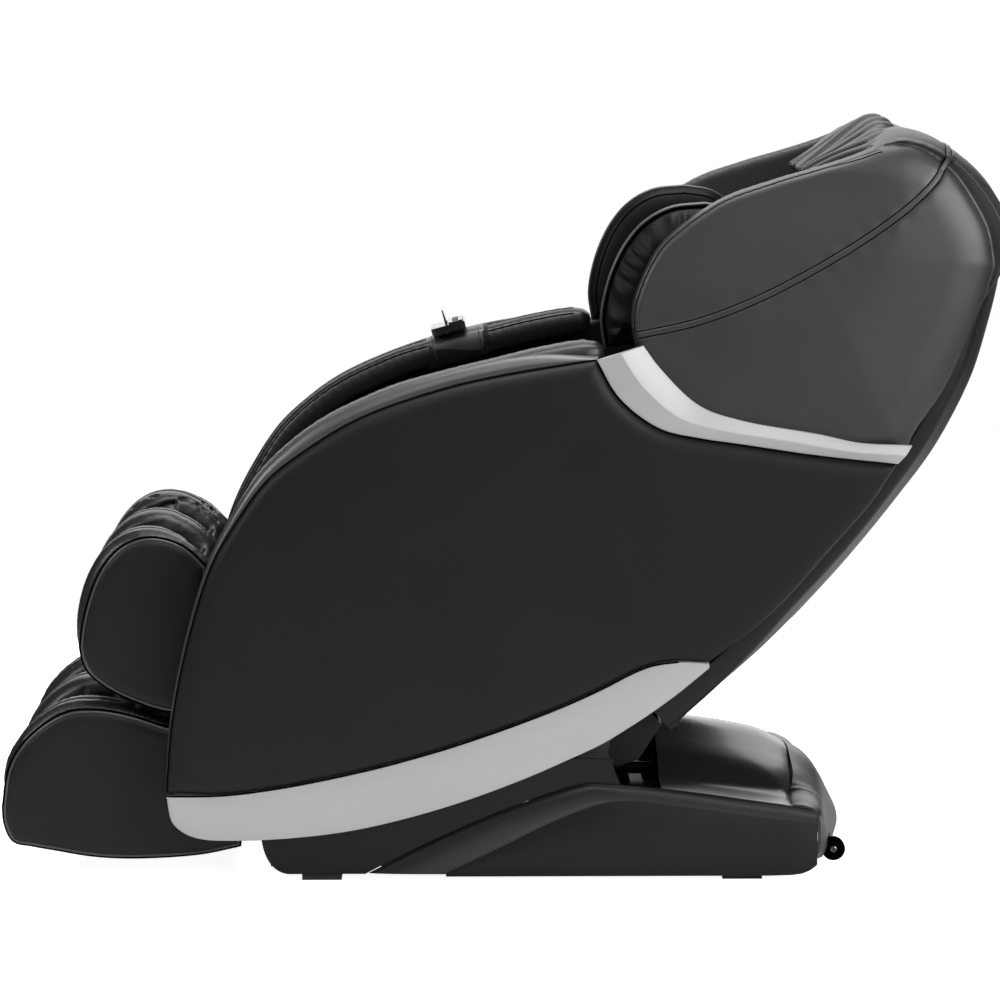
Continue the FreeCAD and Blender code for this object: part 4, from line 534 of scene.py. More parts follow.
def beside(line: Sequence[Spot], off: float) -> list[Place]:
    """A line beside a line on a surface."""
    made = []
    for i, (p, n) in enumerate(line):
        ahead = (line[min(i + 1, len(line) - 1)][0] - line[max(i - 1, 0)][0]).normalized()
        made.append(tuple(p + n.cross(ahead).normalized() * off))
    return made


def ribbon(name: str, line: Sequence[Spot], half: float, high: float, sunk: float) -> bpy.types.Object:
    """A flat sewn welt along a line on a surface.

    Args:
        name: the object's name.
        line: the places and normals.
        half: half its width.
        high: its height.
        sunk: height of its foot over the surface; negative is under it.

    Returns:
        The object.
    """
    rows = []
    for i, (p, n) in enumerate(line):
        ahead = (line[min(i + 1, len(line) - 1)][0] - line[max(i - 1, 0)][0]).normalized()
        across = n.cross(ahead).normalized()
        ring = ((-1.0, -1.6), (-1.02, 0.35), (-0.84, 0.85), (-0.4, 0.98), (0.0, 0.9), (0.4, 0.98), (0.84, 0.85),
                (1.02, 0.35), (1.0, -1.6))
        rows.append([tuple(p + across * (u * half) + n * (sunk + v * high)) for u, v in ring])
    return skin(name, rows, sharp=70)


def tube(name: str, line: Sequence[Place], radius: float, loop: bool = False) -> bpy.types.Object:
    """A thin round welt along a line.

    Args:
        name: the object's name.
        line: its middle line.
        radius: its radius.
        loop: the end joins the start.

    Returns:
        The object, a mesh.
    """
    spots = [Vector(p) for p in line]
    count = len(spots)
    rows = []
    side = Vector((0, 0, 1))
    for i, p in enumerate(spots):
        before = spots[i - 1] if loop or i else spots[0]
        after = spots[(i + 1) % count] if loop or i < count - 1 else spots[-1]
        ahead = (after - before).normalized()
        side = (side - ahead * side.dot(ahead)).normalized() if abs(side.dot(ahead)) < 0.99 else ahead.orthogonal()
        other = ahead.cross(side)
        rows.append([tuple(p + radius * (side * math.cos(a) + other * math.sin(a)))
                     for a in (math.pi * k / 4 for k in range(8))])
    if loop:
        rows.append(rows[0])
    return skin(name, rows, capped=not loop, sharp=80)


def stitched(name: str, line: Sequence[Place], long: float = 4.6, gap: float = 2.4,
             radius: float = 0.55) -> bpy.types.Object:
    """A row of sewn stitches.

    Args:
        name: the object's name.
        line: the row's line, on the surface.
        long: length of a stitch.
        gap: distance between two stitches.
        radius: half the thread's thickness.

    Returns:
        The object, one mesh.
    """
    length = sum(math.dist(a, b) for a, b in zip(line, line[1:]))
    spots = [Vector(p) for p in walk(line, max(4, int(length / (long + gap)) * 2))]
    verts: list[Place] = []
    faces: list[Sequence[int]] = []
    for i in range(0, len(spots) - 1, 2):
        a, b = spots[i], spots[i + 1]
        ahead = (b - a).normalized()
        across = ahead.orthogonal().normalized()
        other = ahead.cross(across)
        base = len(verts)
        for share, size in ((-0.05, 0.2), (0.2, 1.0), (0.8, 1.0), (1.05, 0.2)):
            middle = a + (b - a) * share
            for k in range(6):
                turn = math.pi * k / 3
                verts.append(tuple(middle + radius * size * (across * math.cos(turn) + other * math.sin(turn))))
        for r in range(3):
            for k in range(6):
                faces.append((base + r * 6 + k, base + r * 6 + (k + 1) % 6,
                              base + (r + 1) * 6 + (k + 1) % 6, base + (r + 1) * 6 + k))
    return piece(name, verts, faces, 80)


# Shader graphs

class Wire:
    """A shader socket that takes part in sums."""

    def __init__(self, graph: "Graph", socket: bpy.types.NodeSocket) -> None:
        """Holds a socket.

        Args:
            graph: the graph it belongs to.
            socket: an output socket.
        """
        self.graph = graph
        self.socket = socket

    def _sum(self, operation: str, a: Any, b: Any) -> "Wire":
        """A Math node over two values."""
        return self.graph.node("ShaderNodeMath", {"operation": operation}, {0: a, 1: b})

    def __add__(self, other: Any) -> "Wire":
        """The sum."""
        return self._sum("ADD", self, other)

    def __radd__(self, other: Any) -> "Wire":
        """The sum, from the right."""
        return self._sum("ADD", other, self)

    def __sub__(self, other: Any) -> "Wire":
        """The difference."""
        return self._sum("SUBTRACT", self, other)

    def __rsub__(self, other: Any) -> "Wire":
        """The difference, from the right."""
        return self._sum("SUBTRACT", other, self)

    def __mul__(self, other: Any) -> "Wire":
        """The product."""
        return self._sum("MULTIPLY", self, other)

    def __rmul__(self, other: Any) -> "Wire":
        """The product, from the right."""
        return self._sum("MULTIPLY", other, self)


class Graph:
    """A material's node graph."""

    def __init__(self, name: str) -> None:
        """Starts an empty material.

        Args:
            name: the material's name.
        """
        self.material = bpy.data.materials.new(name)
        self.material.use_nodes = True
        self.tree = self.material.node_tree
        self.tree.nodes.clear()

    def node(self, kind: str, settings: dict[str, Any] | None = None, sockets: dict[Any, Any] | None = None,
             out: Any = 0) -> Wire:
        """Adds a node.

        Args:
            kind: the node's type.
            settings: its settings, with "stops" for a ramp's (place, grey) pairs.
            sockets: values or wires of its input sockets, by name or number.
            out: the output socket to return.

        Returns:
            The output as a wire.
        """
        made = self.tree.nodes.new(kind)
        for key, value in (settings or {}).items():
            if key == "stops":
                stops = made.color_ramp.elements
                while len(stops) < len(value):
                    stops.new(1.0)
                for stop, (place, grey) in zip(stops, value):
                    stop.position = place
                    stop.color = (grey, grey, grey, 1.0)
            else:
                setattr(made, key, value)
        for key, value in (sockets or {}).items():
            if isinstance(value, Wire):
                self.tree.links.new(value.socket, made.inputs[key])
            else:
                made.inputs[key].default_value = value
        return Wire(self, made.outputs[out])

    def place(self) -> Wire:
        """The place on the object at rest."""
        return self.node("ShaderNodeTexCoord", out="Object")

    def noise(self, where: Wire, scale: float, detail: float = 3.0, rough: float = 0.5) -> Wire:
        """Cloudy noise from 0 to 1.

        Args:
            where: the coordinates.
            scale: clouds per metre.
            detail: finer layers.
            rough: strength of the finer layers.

        Returns:
            The noise.
        """
        return self.node("ShaderNodeTexNoise", {}, {"Vector": where, "Scale": scale, "Detail": detail,
                                                    "Roughness": rough}, "Fac")

    def cells(self, where: Wire, size: float) -> Wire:
        """Distance to the edges of irregular cells.

        Args:
            where: the coordinates.
            size: size of a cell in millimetres.

        Returns:
            The distance, near 0 on the edges.
        """
        return self.node("ShaderNodeTexVoronoi", {"feature": "DISTANCE_TO_EDGE"},
                         {"Vector": where, "Scale": 1.0 / (size * MM)}, "Distance")

    def between(self, share: Wire, low: Place, high: Place) -> Wire:
        """A colour between two colours."""
        return self.node("ShaderNodeMix", {"data_type": "RGBA"},
                         {0: share, 6: (*low, 1.0), 7: (*high, 1.0)}, 2)

    def bump(self, height: Wire, depth: float, strength: float = 1.0) -> Wire:
        """A normal from a height.

        Args:
            height: the height from 0 to 1.
            depth: what 1 stands for, in millimetres.
            strength: how much of it shows.

        Returns:
            The normal.
        """
        return self.node("ShaderNodeBump", {}, {"Strength": strength, "Distance": depth * MM, "Height": height},
                         "Normal")

    def shade(self, colour: Wire, roughness: Wire, normal: Wire,
              constants: dict[str, float]) -> bpy.types.Material:
        """Ends the graph with the surface shader.

        Args:
            colour: the base colour.
            roughness: the roughness.
            normal: the normal.
            constants: values set on the shader's other sockets.

        Returns:
            The material.
        """
        whole: dict[str, Any] = {"Base Color": colour, "Roughness": roughness, "Normal": normal}
        whole.update(constants)
        shader = self.node("ShaderNodeBsdfPrincipled", {}, whole, "BSDF")
        self.node_output(shader)
        return self.material

    def node_output(self, shader: Wire) -> None:
        """Joins a shader to the material's output."""
        end = self.tree.nodes.new("ShaderNodeOutputMaterial")
        self.tree.links.new(shader.socket, end.inputs["Surface"])


@dataclass(frozen=True)
class Leather:
    """Black leather with its grain."""

    name: str
    tone: float
    roughness: float
    grain: float = 1.5
    relief: float = 0.10
    crease: float = 0.5
    gloss: float = 0.5

    def material(self) -> bpy.types.Material:
        """Makes the material.

        Returns:
            Leather with pebbled grain, fine pores, soft creases and slightly uneven sheen.
        """
        g = Graph(self.name)
        where = g.place()
        wobble = g.node("ShaderNodeTexNoise", {}, {"Vector": where, "Scale": 380.0, "Detail": 1.0}, "Color")
        bent = g.node("ShaderNodeVectorMath", {"operation": "MULTIPLY_ADD"},
                      {0: wobble, 1: (0.0012, 0.0012, 0.0012), 2: where}, "Vector")
        pebble = g.node("ShaderNodeValToRGB", {"stops": [(0.0, 0.0), (0.22, 0.75), (0.5, 1.0)]},
                        {"Fac": g.cells(bent, self.grain)}, "Color")
        pores = g.noise(where, 2600.0, 2.0)
        folds = g.noise(where, 26.0, 4.0, 0.6)
        wide = g.noise(where, 7.0, 2.0)
        height = pebble * 0.55 + pores * 0.25 + folds * self.crease
        low = self.tone * 0.82
        colour = g.between(wide * 0.6 + pebble * 0.4, (low, low, low * 1.02),
                           (self.tone * 1.15, self.tone * 1.15, self.tone * 1.18))
        rough = self.roughness - 0.05 + (1 - pebble) * 0.10 + (wide - 0.5) * 0.10
        return g.shade(colour, rough, g.bump(height, self.relief), {"Specular IOR Level": self.gloss})


@dataclass(frozen=True)
class Moulded:
    """Moulded black or coloured plastic."""

    name: str
    tone: float
    roughness: float
    texture: float = 0.5
    relief: float = 0.02
    coat: float = 0.0
    gloss: float = 0.5

    def material(self) -> bpy.types.Material:
        """Makes the material.

        Returns:
            Plastic with a fine moulded texture, faint flow marks and uneven gloss.
        """
        g = Graph(self.name)
        where = g.place()
        fine = g.noise(where, 1000.0 / self.texture, 2.0)
        flow = g.noise(where, 5.0, 3.0)
        smear = g.noise(where, 60.0, 4.0, 0.7)
        colour = g.between(flow, (self.tone * 0.9,) * 3, (self.tone * 1.12,) * 3)
        rough = self.roughness + (smear - 0.5) * 0.12 * self.roughness + (flow - 0.5) * 0.05
        return g.shade(colour, rough, g.bump(fine, self.relief, 0.8),
                       {"Specular IOR Level": self.gloss, "Coat Weight": self.coat, "Coat Roughness": 0.16})


@dataclass(frozen=True)
class Metallic:
    """Painted silver trim or bare steel."""

    name: str
    tone: float
    roughness: float
    metal: float
    flake: float = 0.35
    streak: float = 0.0

    def material(self) -> bpy.types.Material:
        """Makes the material.

        Returns:
            Metal or metallic paint with fine flakes, faint streaks and wear.
        """
        g = Graph(self.name)
        where = g.place()
        flakes = g.noise(where, 1000.0 / self.flake, 1.0)
        clouds = g.noise(where, 9.0, 3.0)
        stretched = g.node("ShaderNodeMapping", {}, {"Vector": where, "Scale": (6.0, 6.0, 240.0)})
        lines = g.noise(stretched, 6.0, 3.0)
        tone = self.tone
        colour = g.between(flakes * 0.5 + clouds * 0.5, (tone * 0.92, tone * 0.92, tone * 0.93),
                           (tone * 1.06, tone * 1.06, tone * 1.07))
        rough = self.roughness + (clouds - 0.5) * 0.06 + (lines - 0.5) * self.streak
        return g.shade(colour, rough, g.bump(flakes * 0.5 + lines * self.streak, 0.012, 0.6),
                       {"Metallic": self.metal, "Specular IOR Level": 0.5})


class Finishes:
    """The chair's finishes, each made once."""

    def __init__(self) -> None:
        """Makes every finish."""
        self.panel = Leather("panel leather", 0.006, 0.50, 1.3, 0.05, 0.25, 0.20).material()
        self.hood = Leather("hood leather", 0.021, 0.42, 1.5, 0.07, 0.35, 0.5).material()
        self.seat = Leather("seat leather", 0.008, 0.36, 1.5, 0.10, 0.8, 0.5).material()
        self.wing = Leather("wing leather", 0.004, 0.42, 1.5, 0.10, 0.6, 0.12).material()
        self.cover = Leather("cover leather", 0.006, 0.46, 1.4, 0.07, 0.4, 0.24).material()
        # The rim's tone, six times the panel's, is a painted highlight for the light its up-facing band catches from
        # above. The sleeve round the right arm roll shares this finish.
        self.rim = Leather("rim leather", 0.035, 0.36, 1.3, 0.06, 0.3, 0.8).material()
        self.piping = Leather("piping", 0.030, 0.30, 1.0, 0.04, 0.1, 0.7).material()
        # Near-black leather. Thin tubes of it paint the shade in seam grooves and beside welts and piping. It is
        # also the transport wheels' own plain black.
        self.seam = Leather("seam shadow", 0.001, 0.9, 1.0, 0.02, 0.1, 0.0).material()
        self.thread = Moulded("thread", 0.02, 0.55, 0.3, 0.05).material()
        self.silver = Metallic("silver paint", 0.35, 0.46, 0.15).material()
        self.plastic = Moulded("base plastic", 0.005, 0.45, 0.5, 0.03, 0.0, 0.25).material()
        # The shoulder's tone, twice the wall's, is partly its own and partly a painted highlight for the light on
        # its up-facing band. The rear end shares this finish.
        self.shoulder = Moulded("shoulder plastic", 0.010, 0.34, 0.5, 0.02, 0.0, 0.5).material()
        self.gloss = Moulded("gloss cover", 0.011, 0.28, 0.8, 0.002, 0.4).material()
        self.key = Moulded("key plastic", 0.12, 0.45).material()
        self.steel = Metallic("painted steel", 0.02, 0.5, 0.0).material()
        self.rod = Metallic("ground steel", 0.35, 0.26, 1.0, 0.4, 0.10).material()
        self.housing = Moulded("drive housing", 0.045, 0.5, 0.4, 0.04).material()
        self.roller = Moulded("roller plastic", 0.45, 0.4).material()
        self.rubber = Moulded("wheel rubber", 0.018, 0.7, 0.4, 0.06).material()


# Common ways to hand pieces over

@dataclass
class Workshop:
    """Puts finished pieces on their bodies and reports them."""

    finishes: Finishes

    def fit(self, obj: bpy.types.Object, finish: bpy.types.Material, body: str, slot: str,
            *nodes: str) -> bpy.types.Object:
        """Dresses a piece and puts it on its body.

        Args:
            obj: the piece.
            finish: its material.
            body: the CAD body that it rides on.
            slot: the record's material slot; not used.
            nodes: CAD nodes that it stands for.

        Returns:
            The piece.
        """
        obj.data.materials.clear()
        obj.data.materials.append(finish)
        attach(obj, body)
        if nodes:
            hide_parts(*nodes)
        log.info("%s: %d faces on %s", obj.name, len(obj.data.polygons), body)
        return obj

    def dress(self, finish: bpy.types.Material, *nodes: str) -> None:
        """Gives CAD nodes a finish.

        Args:
            finish: the material.
            nodes: the nodes.
        """
        for node in nodes:
            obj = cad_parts[node]
            for holder in obj.material_slots:
                holder.material = finish
            log.info("%s: kept from the CAD model", node)


def pad_ring(x: float, z: float, n: Flat, y: float, half_wide: float, half_high: float,
             per_side: int = 9) -> list[Place]:
    """A cushion's cross section: four bowed sides between four soft corners.

    Args:
        x: its middle.
        z: its middle.
        n: the direction of its height in the side view.
        y: its middle across the chair.
        half_wide: half its width across the chair.
        half_high: half its height.
        per_side: points on each side.

    Returns:
        The ring's points.
    """
    corners = [(-0.86, -0.74), (0.86, -0.74), (0.86, 0.74), (-0.86, 0.74)]
    bows = [(0.0, -1.0), (1.0, 0.0), (0.0, 1.0), (-1.0, 0.0)]
    made = []
    for k in range(4):
        a, b, c = corners[k], bows[k], corners[(k + 1) % 4]
        pull = (2 * b[0] - (a[0] + c[0]) / 2, 2 * b[1] - (a[1] + c[1]) / 2)
        for i in range(per_side):
            t = i / per_side
            u = (1 - t) ** 2 * a[0] + 2 * t * (1 - t) * pull[0] + t * t * c[0]
            v = (1 - t) ** 2 * a[1] + 2 * t * (1 - t) * pull[1] + t * t * c[1]
            made.append((x + n[0] * v * half_high, y + u * half_wide, z + n[1] * v * half_high))
    return made


def pad(name: str, path: Sequence[Flat], y: float, half_wide: float, half_high: float,
        shape: Sequence[Place], step: float = 7.0) -> bpy.types.Object:
    """A cushion along a side-view path.

    Args:
        name: the object's name.
        path: its middle line.
        y: its middle across the chair.
        half_wide: half its width.
        half_high: half its height.
        shape: (share along the path, width factor, height factor).
        step: spacing of its rings.

    Returns:
        The object.
    """
    length = sum(math.dist(a, b) for a, b in zip(path, path[1:]))
    count = max(12, round(length / step))
    line = walk(path, count)
    stations = [s[0] for s in shape]
    wide = np.interp(np.linspace(0, 1, count), stations, [s[1] for s in shape])
    high = np.interp(np.linspace(0, 1, count), stations, [s[2] for s in shape])
    per_side = max(6, round(half_wide / step))
    rows = [pad_ring(*line[i], n, y, half_wide * wide[i], half_high * high[i], per_side)
            for i, n in enumerate(lefts(line))]
    return skin(name, rows, sharp=180)


def plated(name: str, shape: Outline, profile: Sequence[tuple[float, float]], sign: int) -> bpy.types.Object:
    """A padded plate: rings of an outline across the chair, closed flat on both faces.

    Args:
        name: the object's name.
        shape: the outline.
        profile: (y, inset) from the inner face round the edge to the outer face.
        sign: the side of the chair.

    Returns:
        The object.
    """
    rows = [[(x, sign * y, z) for x, z in shape.inset(inset)] for y, inset in profile]
    return skin(name, rows, sharp=60)


def strip(name: str, sections: Sequence[Sequence[Place]], sharp: float = 35.0) -> bpy.types.Object:
    """A solid through closed sections."""
    return skin(name, sections, sharp=sharp)


# Cocoon: hard shells

SEAM_LINE = ((-529, 156), (-519, 268), (-491, 401), (-455, 512), (-419, 574), (-370, 640), (-314, 684),
             (-228, 735), (-95, 781), (-15, 799), (91, 817), (130, 823))
RIM_LINE = ((-532, 146), (-524, 264), (-501, 385), (-464, 509), (-429, 580), (-385, 646), (-347, 683),
            (-282, 731), (-175, 779), (-68, 811), (38, 830), (134, 828))
SWEEP_LOW = ((130, 823), (165, 765), (226, 719), (287, 704), (348, 695), (470, 677), (589, 664))
SWEEP_TOP = ((201, 845), (226, 811), (287, 753), (348, 731), (470, 709), (531, 696), (611, 692))
REAR_LINE = ((589, 664), (552, 606), (485, 528), (418, 451), (376, 412), (304, 358))
TRIM_LINE = ((304, 358), (257, 360), (217, 354), (186, 342), (140, 318), (62, 283), (-69, 235),
             (-158, 208), (-245, 186), (-356, 164), (-444, 153), (-529, 152))
TRIM_BOTTOM = ((-529, 152), (-521, 112), (-504, 95), (-478, 85), (-417, 82), (-335, 86), (-246, 97),
               (-158, 117), (-69, 144), (19, 177), (85, 206), (140, 232), (179, 256), (218, 282),
               (257, 311), (304, 350))


@dataclass
class SideShell:
    """One side of the cocoon: the leather panel, its rim band and its two silver trims."""

    side: Side
    crown_y: float = 373.0
    lip_y: float = 339.5
    trim_y: float = 367.0
    ridge_y: float = 375.0
    rim_y: float = 349.0

    def panel(self) -> bpy.types.Object:
        """The panel's dished shell, with a soft roll at its edge.

        Returns:
            The panel.
        """
        low = (REAR_LINE[-1],) + TRIM_LINE[1:-1] + (SEAM_LINE[0],)
        shape = outline(8.0, SEAM_LINE, SWEEP_LOW, REAR_LINE, low)
        y = self.crown_y
        outer = [(self.lip_y, 0.8), (y - 19, 0.5), (y - 14, 0.9), (y - 10, 2.2), (y - 6.6, 4.6), (y - 3.8, 8.2),
                 (y - 1.8, 13.5), (y - 0.6, 20.0), (y, 29.0)]
        inner = [(y - 7, 34.0), (y - 10, 18.0), (y - 18, 9.0), (self.lip_y, 8.5)]
        return plated(f"panel_{self.side.tag}", shape, inner + outer, self.side.value)

    def rim(self) -> bpy.types.Object:
        """The leather band that closes the panel's front and top edge.

        Returns:
            The band.
        """
        count = 90
        top, seam = walk(RIM_LINE, count), walk(SEAM_LINE, count)
        s = self.side.value
        rows = []
        for (tx, tz), (sx, sz), n in zip(top, seam, lefts(seam)):
            sx, sz = sx + n[0] * 1.0, sz + n[1] * 1.0
            ring = [(0.0, -9.0), (0.0, 7.0), (0.05, 8.6), (0.2, 9.4), (0.45, 8.2), (0.7, 5.4), (0.9, 2.0),
                    (1.0, -1.0), (1.0, -5.0), (0.97, -8.6)]
            rows.append([(sx + (tx - sx) * a, s * (self.rim_y + dy), sz + (tz - sz) * a) for a, dy in ring])
        return strip(f"rim_{self.side.tag}", rows, 60)

    def lower_trim(self) -> bpy.types.Object:
        """The broad silver strip under the panel.

        Returns:
            The trim.
        """
        count = 120
        top = walk([(x, z - 0.7) for x, z in TRIM_LINE[::-1]], count)
        low = walk(TRIM_BOTTOM, count)
        s, y = self.side.value, self.trim_y
        rows = []
        for (tx, tz), (bx, bz) in zip(top, low):
            wide = max(math.hypot(bx - tx, bz - tz), 0.2)
            edge = min(2.2 / wide, 0.3)
            lap = -6.0 / wide if wide > 12 else 0.0
            ring = [(lap, -22.0), (lap, -17.0), (0.0, -14.0), (0.0, -2.0), (edge * 0.3, -0.7), (edge, 0.0),
                    (0.35, 0.7), (0.65, 0.7), (1 - edge, 0.0), (1 - edge * 0.3, -0.7), (1.0, -2.0), (1.0, -22.0)]
            rows.append([(tx + (bx - tx) * a, s * (y + dy), tz + (bz - tz) * a) for a, dy in ring])
        return strip(f"lower_trim_{self.side.tag}", rows, 60)

    def upper_trim(self) -> bpy.types.Object:
        """The folded silver strip between panel and hood, with its lengthwise crease.

        Returns:
            The trim.
        """
        count = 70
        low, top = walk(SWEEP_LOW, count), walk(SWEEP_TOP, count)
        s = self.side.value
        rows = []
        for (lx, lz), (ux, uz), n in zip(low, top, lefts(low)):
            lx, lz = lx + n[0] * 0.7, lz + n[1] * 0.7
            ring = [(0.0, 351.5), (0.0, self.trim_y - 1.2), (0.03, self.trim_y), (0.44, self.ridge_y - 0.6),
                    (0.5, self.ridge_y), (0.56, self.ridge_y - 1.0), (0.96, self.trim_y - 4.6),
                    (1.0, self.trim_y - 6.4), (1.0, 351.5)]
            rows.append([(lx + (ux - lx) * a, s * y, lz + (uz - lz) * a) for a, y in ring])
        return strip(f"upper_trim_{self.side.tag}", rows, 12)

    def lining(self) -> bpy.types.Object:
        """The dark lining behind the silver trim, between the arm and the hood.

        Returns:
            The lining.
        """
        shape = outline(8.0, ((118, 690), (116, 760), (124, 812)), ((124, 812), (196, 838)),
                        ((196, 838), (240, 786), (330, 722)), ((330, 722), (300, 690)), ((300, 690), (118, 690)))
        profile = [(336.5, 5.0), (337.0, 2.0), (339.0, 0.0), (349.0, 0.0), (350.6, 1.0)]
        return plated(f"lining_{self.side.tag}", shape, profile, self.side.value)

    def build(self, shop: Workshop) -> None:
        """Builds and dresses the side.

        Args:
            shop: where pieces are fitted.
        """
        f, tag = shop.finishes, self.side.tag
        shop.fit(self.panel(), f.panel, "cocoon", "panel_leather", f"side_panel_{tag}")
        rim_nodes = ("side_rims",) if self.side is Side.LEFT else ()
        shop.fit(self.rim(), f.rim, "cocoon", "panel_leather", *rim_nodes)
        shop.fit(self.lower_trim(), f.silver, "cocoon", "silver_trim", f"lower_trim_{tag}")
        shop.fit(self.upper_trim(), f.silver, "cocoon", "silver_trim", f"upper_trim_{tag}")
        shop.fit(self.lining(), f.panel, "cocoon", "panel_leather")
        # Thin near-black tubes along the seams paint the shade in their grooves.
        for k, (line, y) in enumerate(((SEAM_LINE, 348.6), (TRIM_LINE[1:], 366.4), (SWEEP_LOW[:-1], 363.6))):
            seam = [(x, self.side.value * y, z) for x, z in walk(line, 160)]
            shop.fit(tube(f"panel_seam_{tag}_{k}", seam, 1.3), f.seam, "cocoon", "panel_leather")


# Cocoon: hood

@dataclass
class Hood:
    """The padded hood with its double-stitched seam, and the gathered flap over its top."""

    voxel: float = 5.5
    roll: float = 26.0
    round: float = 12.0
    rear_round: float = 70.0
    dome: float = 11.0
    front: tuple[Flat, ...] = ((196, 826), (184, 872), (186, 906), (197, 940), (212, 972), (230, 998), (256, 1019),
                               (283, 1036), (318, 1054), (374, 1076), (420, 1096), (467, 1113), (513, 1129),
                               (556, 1145))
    crown: tuple[Flat, ...] = ((556, 1145), (596, 1149), (632, 1138), (672, 1110), (706, 1065), (729, 1020),
                               (739, 967))
    back: tuple[Flat, ...] = ((739, 967), (714, 885), (664, 771), (617, 701), (606, 672))
    foot: tuple[Flat, ...] = ((606, 672), (533, 676), (472, 689), (350, 711), (289, 733), (228, 791), (196, 826))
    seam: tuple[Flat, ...] = ((188, 859), (278, 879), (365, 911), (452, 955), (538, 1007), (603, 1055),
                              (646, 1098), (667, 1133))
    over: tuple[Place, ...] = ((667, -340, 1133), (676, -300, 1146), (684, -200, 1158), (688, 0, 1160),
                               (684, 200, 1158), (676, 300, 1146), (667, 340, 1133))
    rear: tuple[Place, ...] = ((668, -338, 1130), (700, -318, 1108), (732, -285, 1082), (762, -250, 1044),
                               (775, -230, 1000), (778, -222, 966))

    def side_seam(self, sign: int) -> list[Place]:
        """The seam's line on one side."""
        return [(x, sign * 352.0, z) for x, z in walk(self.seam, 150)]

    def domed(self, obj: bpy.types.Object) -> None:
        """Gives the hood's two sides a tight roll at their edge and a soft dome.

        Args:
            obj: the hood.
        """
        edge = [p for side in outline(3.0, self.front, self.crown, self.back, self.foot).sides for p in side]
        near = tree([(x, 0.0, z) for x, z in edge])
        spots, outward = coords(obj.data), point_normals(obj.data)
        for i, (x, y, z) in enumerate(spots):
            if abs(y) < 0.318 or outward[i][1] * (1 if y > 0 else -1) < 0.2:
                continue
            _, _, distance = near.find((x, 0.0, z))
            d = distance / MM
            share = min(max((x / MM - 470.0) / 170.0, 0.0), 1.0)
            wide = self.round + (self.rear_round - self.round) * share * share * (3 - 2 * share)
            roll = self.roll * math.sqrt(1 - (1 - min(d, wide) / wide) ** 2)
            dome = self.dome * (1 - math.exp(-((d / 125.0) ** 2)))
            spots[i][1] = math.copysign((350.0 - self.roll + roll + dome) * MM, y)
        set_coords(obj.data, spots)

    def trimmed(self, obj: bpy.types.Object) -> None:
        """Draws the crown's middle in and lifts the front edge a little.

        Args:
            obj: the hood.
        """
        spots = coords(obj.data) / MM
        x, y, z = spots[:, 0], spots[:, 1], spots[:, 2]
        middle = np.clip(1 - (np.abs(y) / 345.0) ** 5, 0.0, 1.0)
        drawn = middle * np.interp(z - 0.5 * x, [480, 570, 690, 780, 860, 1000], [11.0, 13.0, 16.0, 11.0, 0.0, 0.0])
        drawn *= np.clip((x - 600) / 70, 0.0, 1.0)
        lift = 12.0 * np.exp(-((x - 345) / 80) ** 2) * np.clip((z - 960) / 60, 0.0, 1.0)
        spots[:, 0] -= drawn * 0.9
        spots[:, 2] += lift - drawn * 0.35
        set_coords(obj.data, spots * MM)

    def shell(self) -> bpy.types.Object:
        """The hood's padded body.

        Returns:
            The hood.
        """
        made = remeshed(copied("hood_body", "hood"), self.voxel)
        relaxed(made, 6)
        self.domed(made)
        relaxed(made, 4)
        refined(made)
        relaxed(made, 2)
        self.trimmed(made)
        on = surface(made)
        self.seams = {s: spots_on(on, self.side_seam(s.value)) for s in Side}
        self.top_seam = spots_on(on, walk(self.over, 200))
        for side in Side:
            grooved(made, [[tuple(p) for p, _ in self.seams[side]]], 2.6, 6.0, 0.35, 19.0)
        grooved(made, [[tuple(p) for p, _ in self.top_seam]], 2.6, 6.0)
        rears = [laid(on, walk([(x, y * s, z) for x, y, z in self.rear], 80), 0.0) for s in (1, -1)]
        return grooved(made, rears, 1.8, 4.0)

    def flap(self) -> bpy.types.Object:
        """The gathered leather flap over the crown: folds that fan out and tuck into the hood's leather.

        Returns:
            The flap.
        """
        verts: list[Place] = []
        faces: list[Sequence[int]] = []
        folds, steps = 11, 36
        section = ((-1.0, -0.6), (-0.94, 0.1), (-0.66, 0.62), (-0.25, 0.94), (0.2, 1.0), (0.62, 0.7), (0.92, 0.15),
                   (1.0, -0.6), (0.0, -0.8))
        wide = len(section)
        for k in range(folds):
            share = 2 * k / (folds - 1) - 1
            off = abs(share)
            end = 608.0 - 30.0 * off ** 1.6 + 4.0 * math.sin(2.3 * k)
            roof = 1165.0 - 14.0 * off * off
            crest = 11.0 - 8.0 * off + 2.0 * math.sin(1.7 * k + 0.6)
            path = walk(((464, 1094), (505, 1125 - 6 * off), (end - 30, roof - 2 + crest - 10 * off * off),
                         (end - 12, roof + crest - 2 * off), (end - 1, roof + 1), (end + 2, roof - 15)), steps)
            base = len(verts)
            for i, ((x, z), n) in enumerate(zip(path, lefts(path))):
                t = i / (steps - 1)
                fan = 0.86 + 0.68 * min(t / 0.62, 1.0) ** 1.3
                taper = min(max((t - 0.74) / 0.26, 0.0), 1.0)
                half = 17.5 * fan * (1 - 0.45 * taper * taper)
                high = 7.0 + 2.0 * math.sin(5 * t + k) + 3.0 * (k % 2) * (1 - taper)
                middle = 166.0 * share * fan + 5.0 * math.sin(3.2 * t + 0.9 * k)
                for u, v in section:
                    verts.append((x + n[0] * (v * high - 3.0), middle + u * half, z + n[1] * (v * high - 3.0)))
            for i in range(steps - 1):
                for c in range(wide):
                    d = (c + 1) % wide
                    faces.append((base + i * wide + c, base + i * wide + d, base + (i + 1) * wide + d,
                                  base + (i + 1) * wide + c))
            faces.append(tuple(range(base, base + wide)))
            faces.append(tuple(range(base + (steps - 1) * wide, base + steps * wide)))
        return refined(piece("flap", verts, faces, 180))

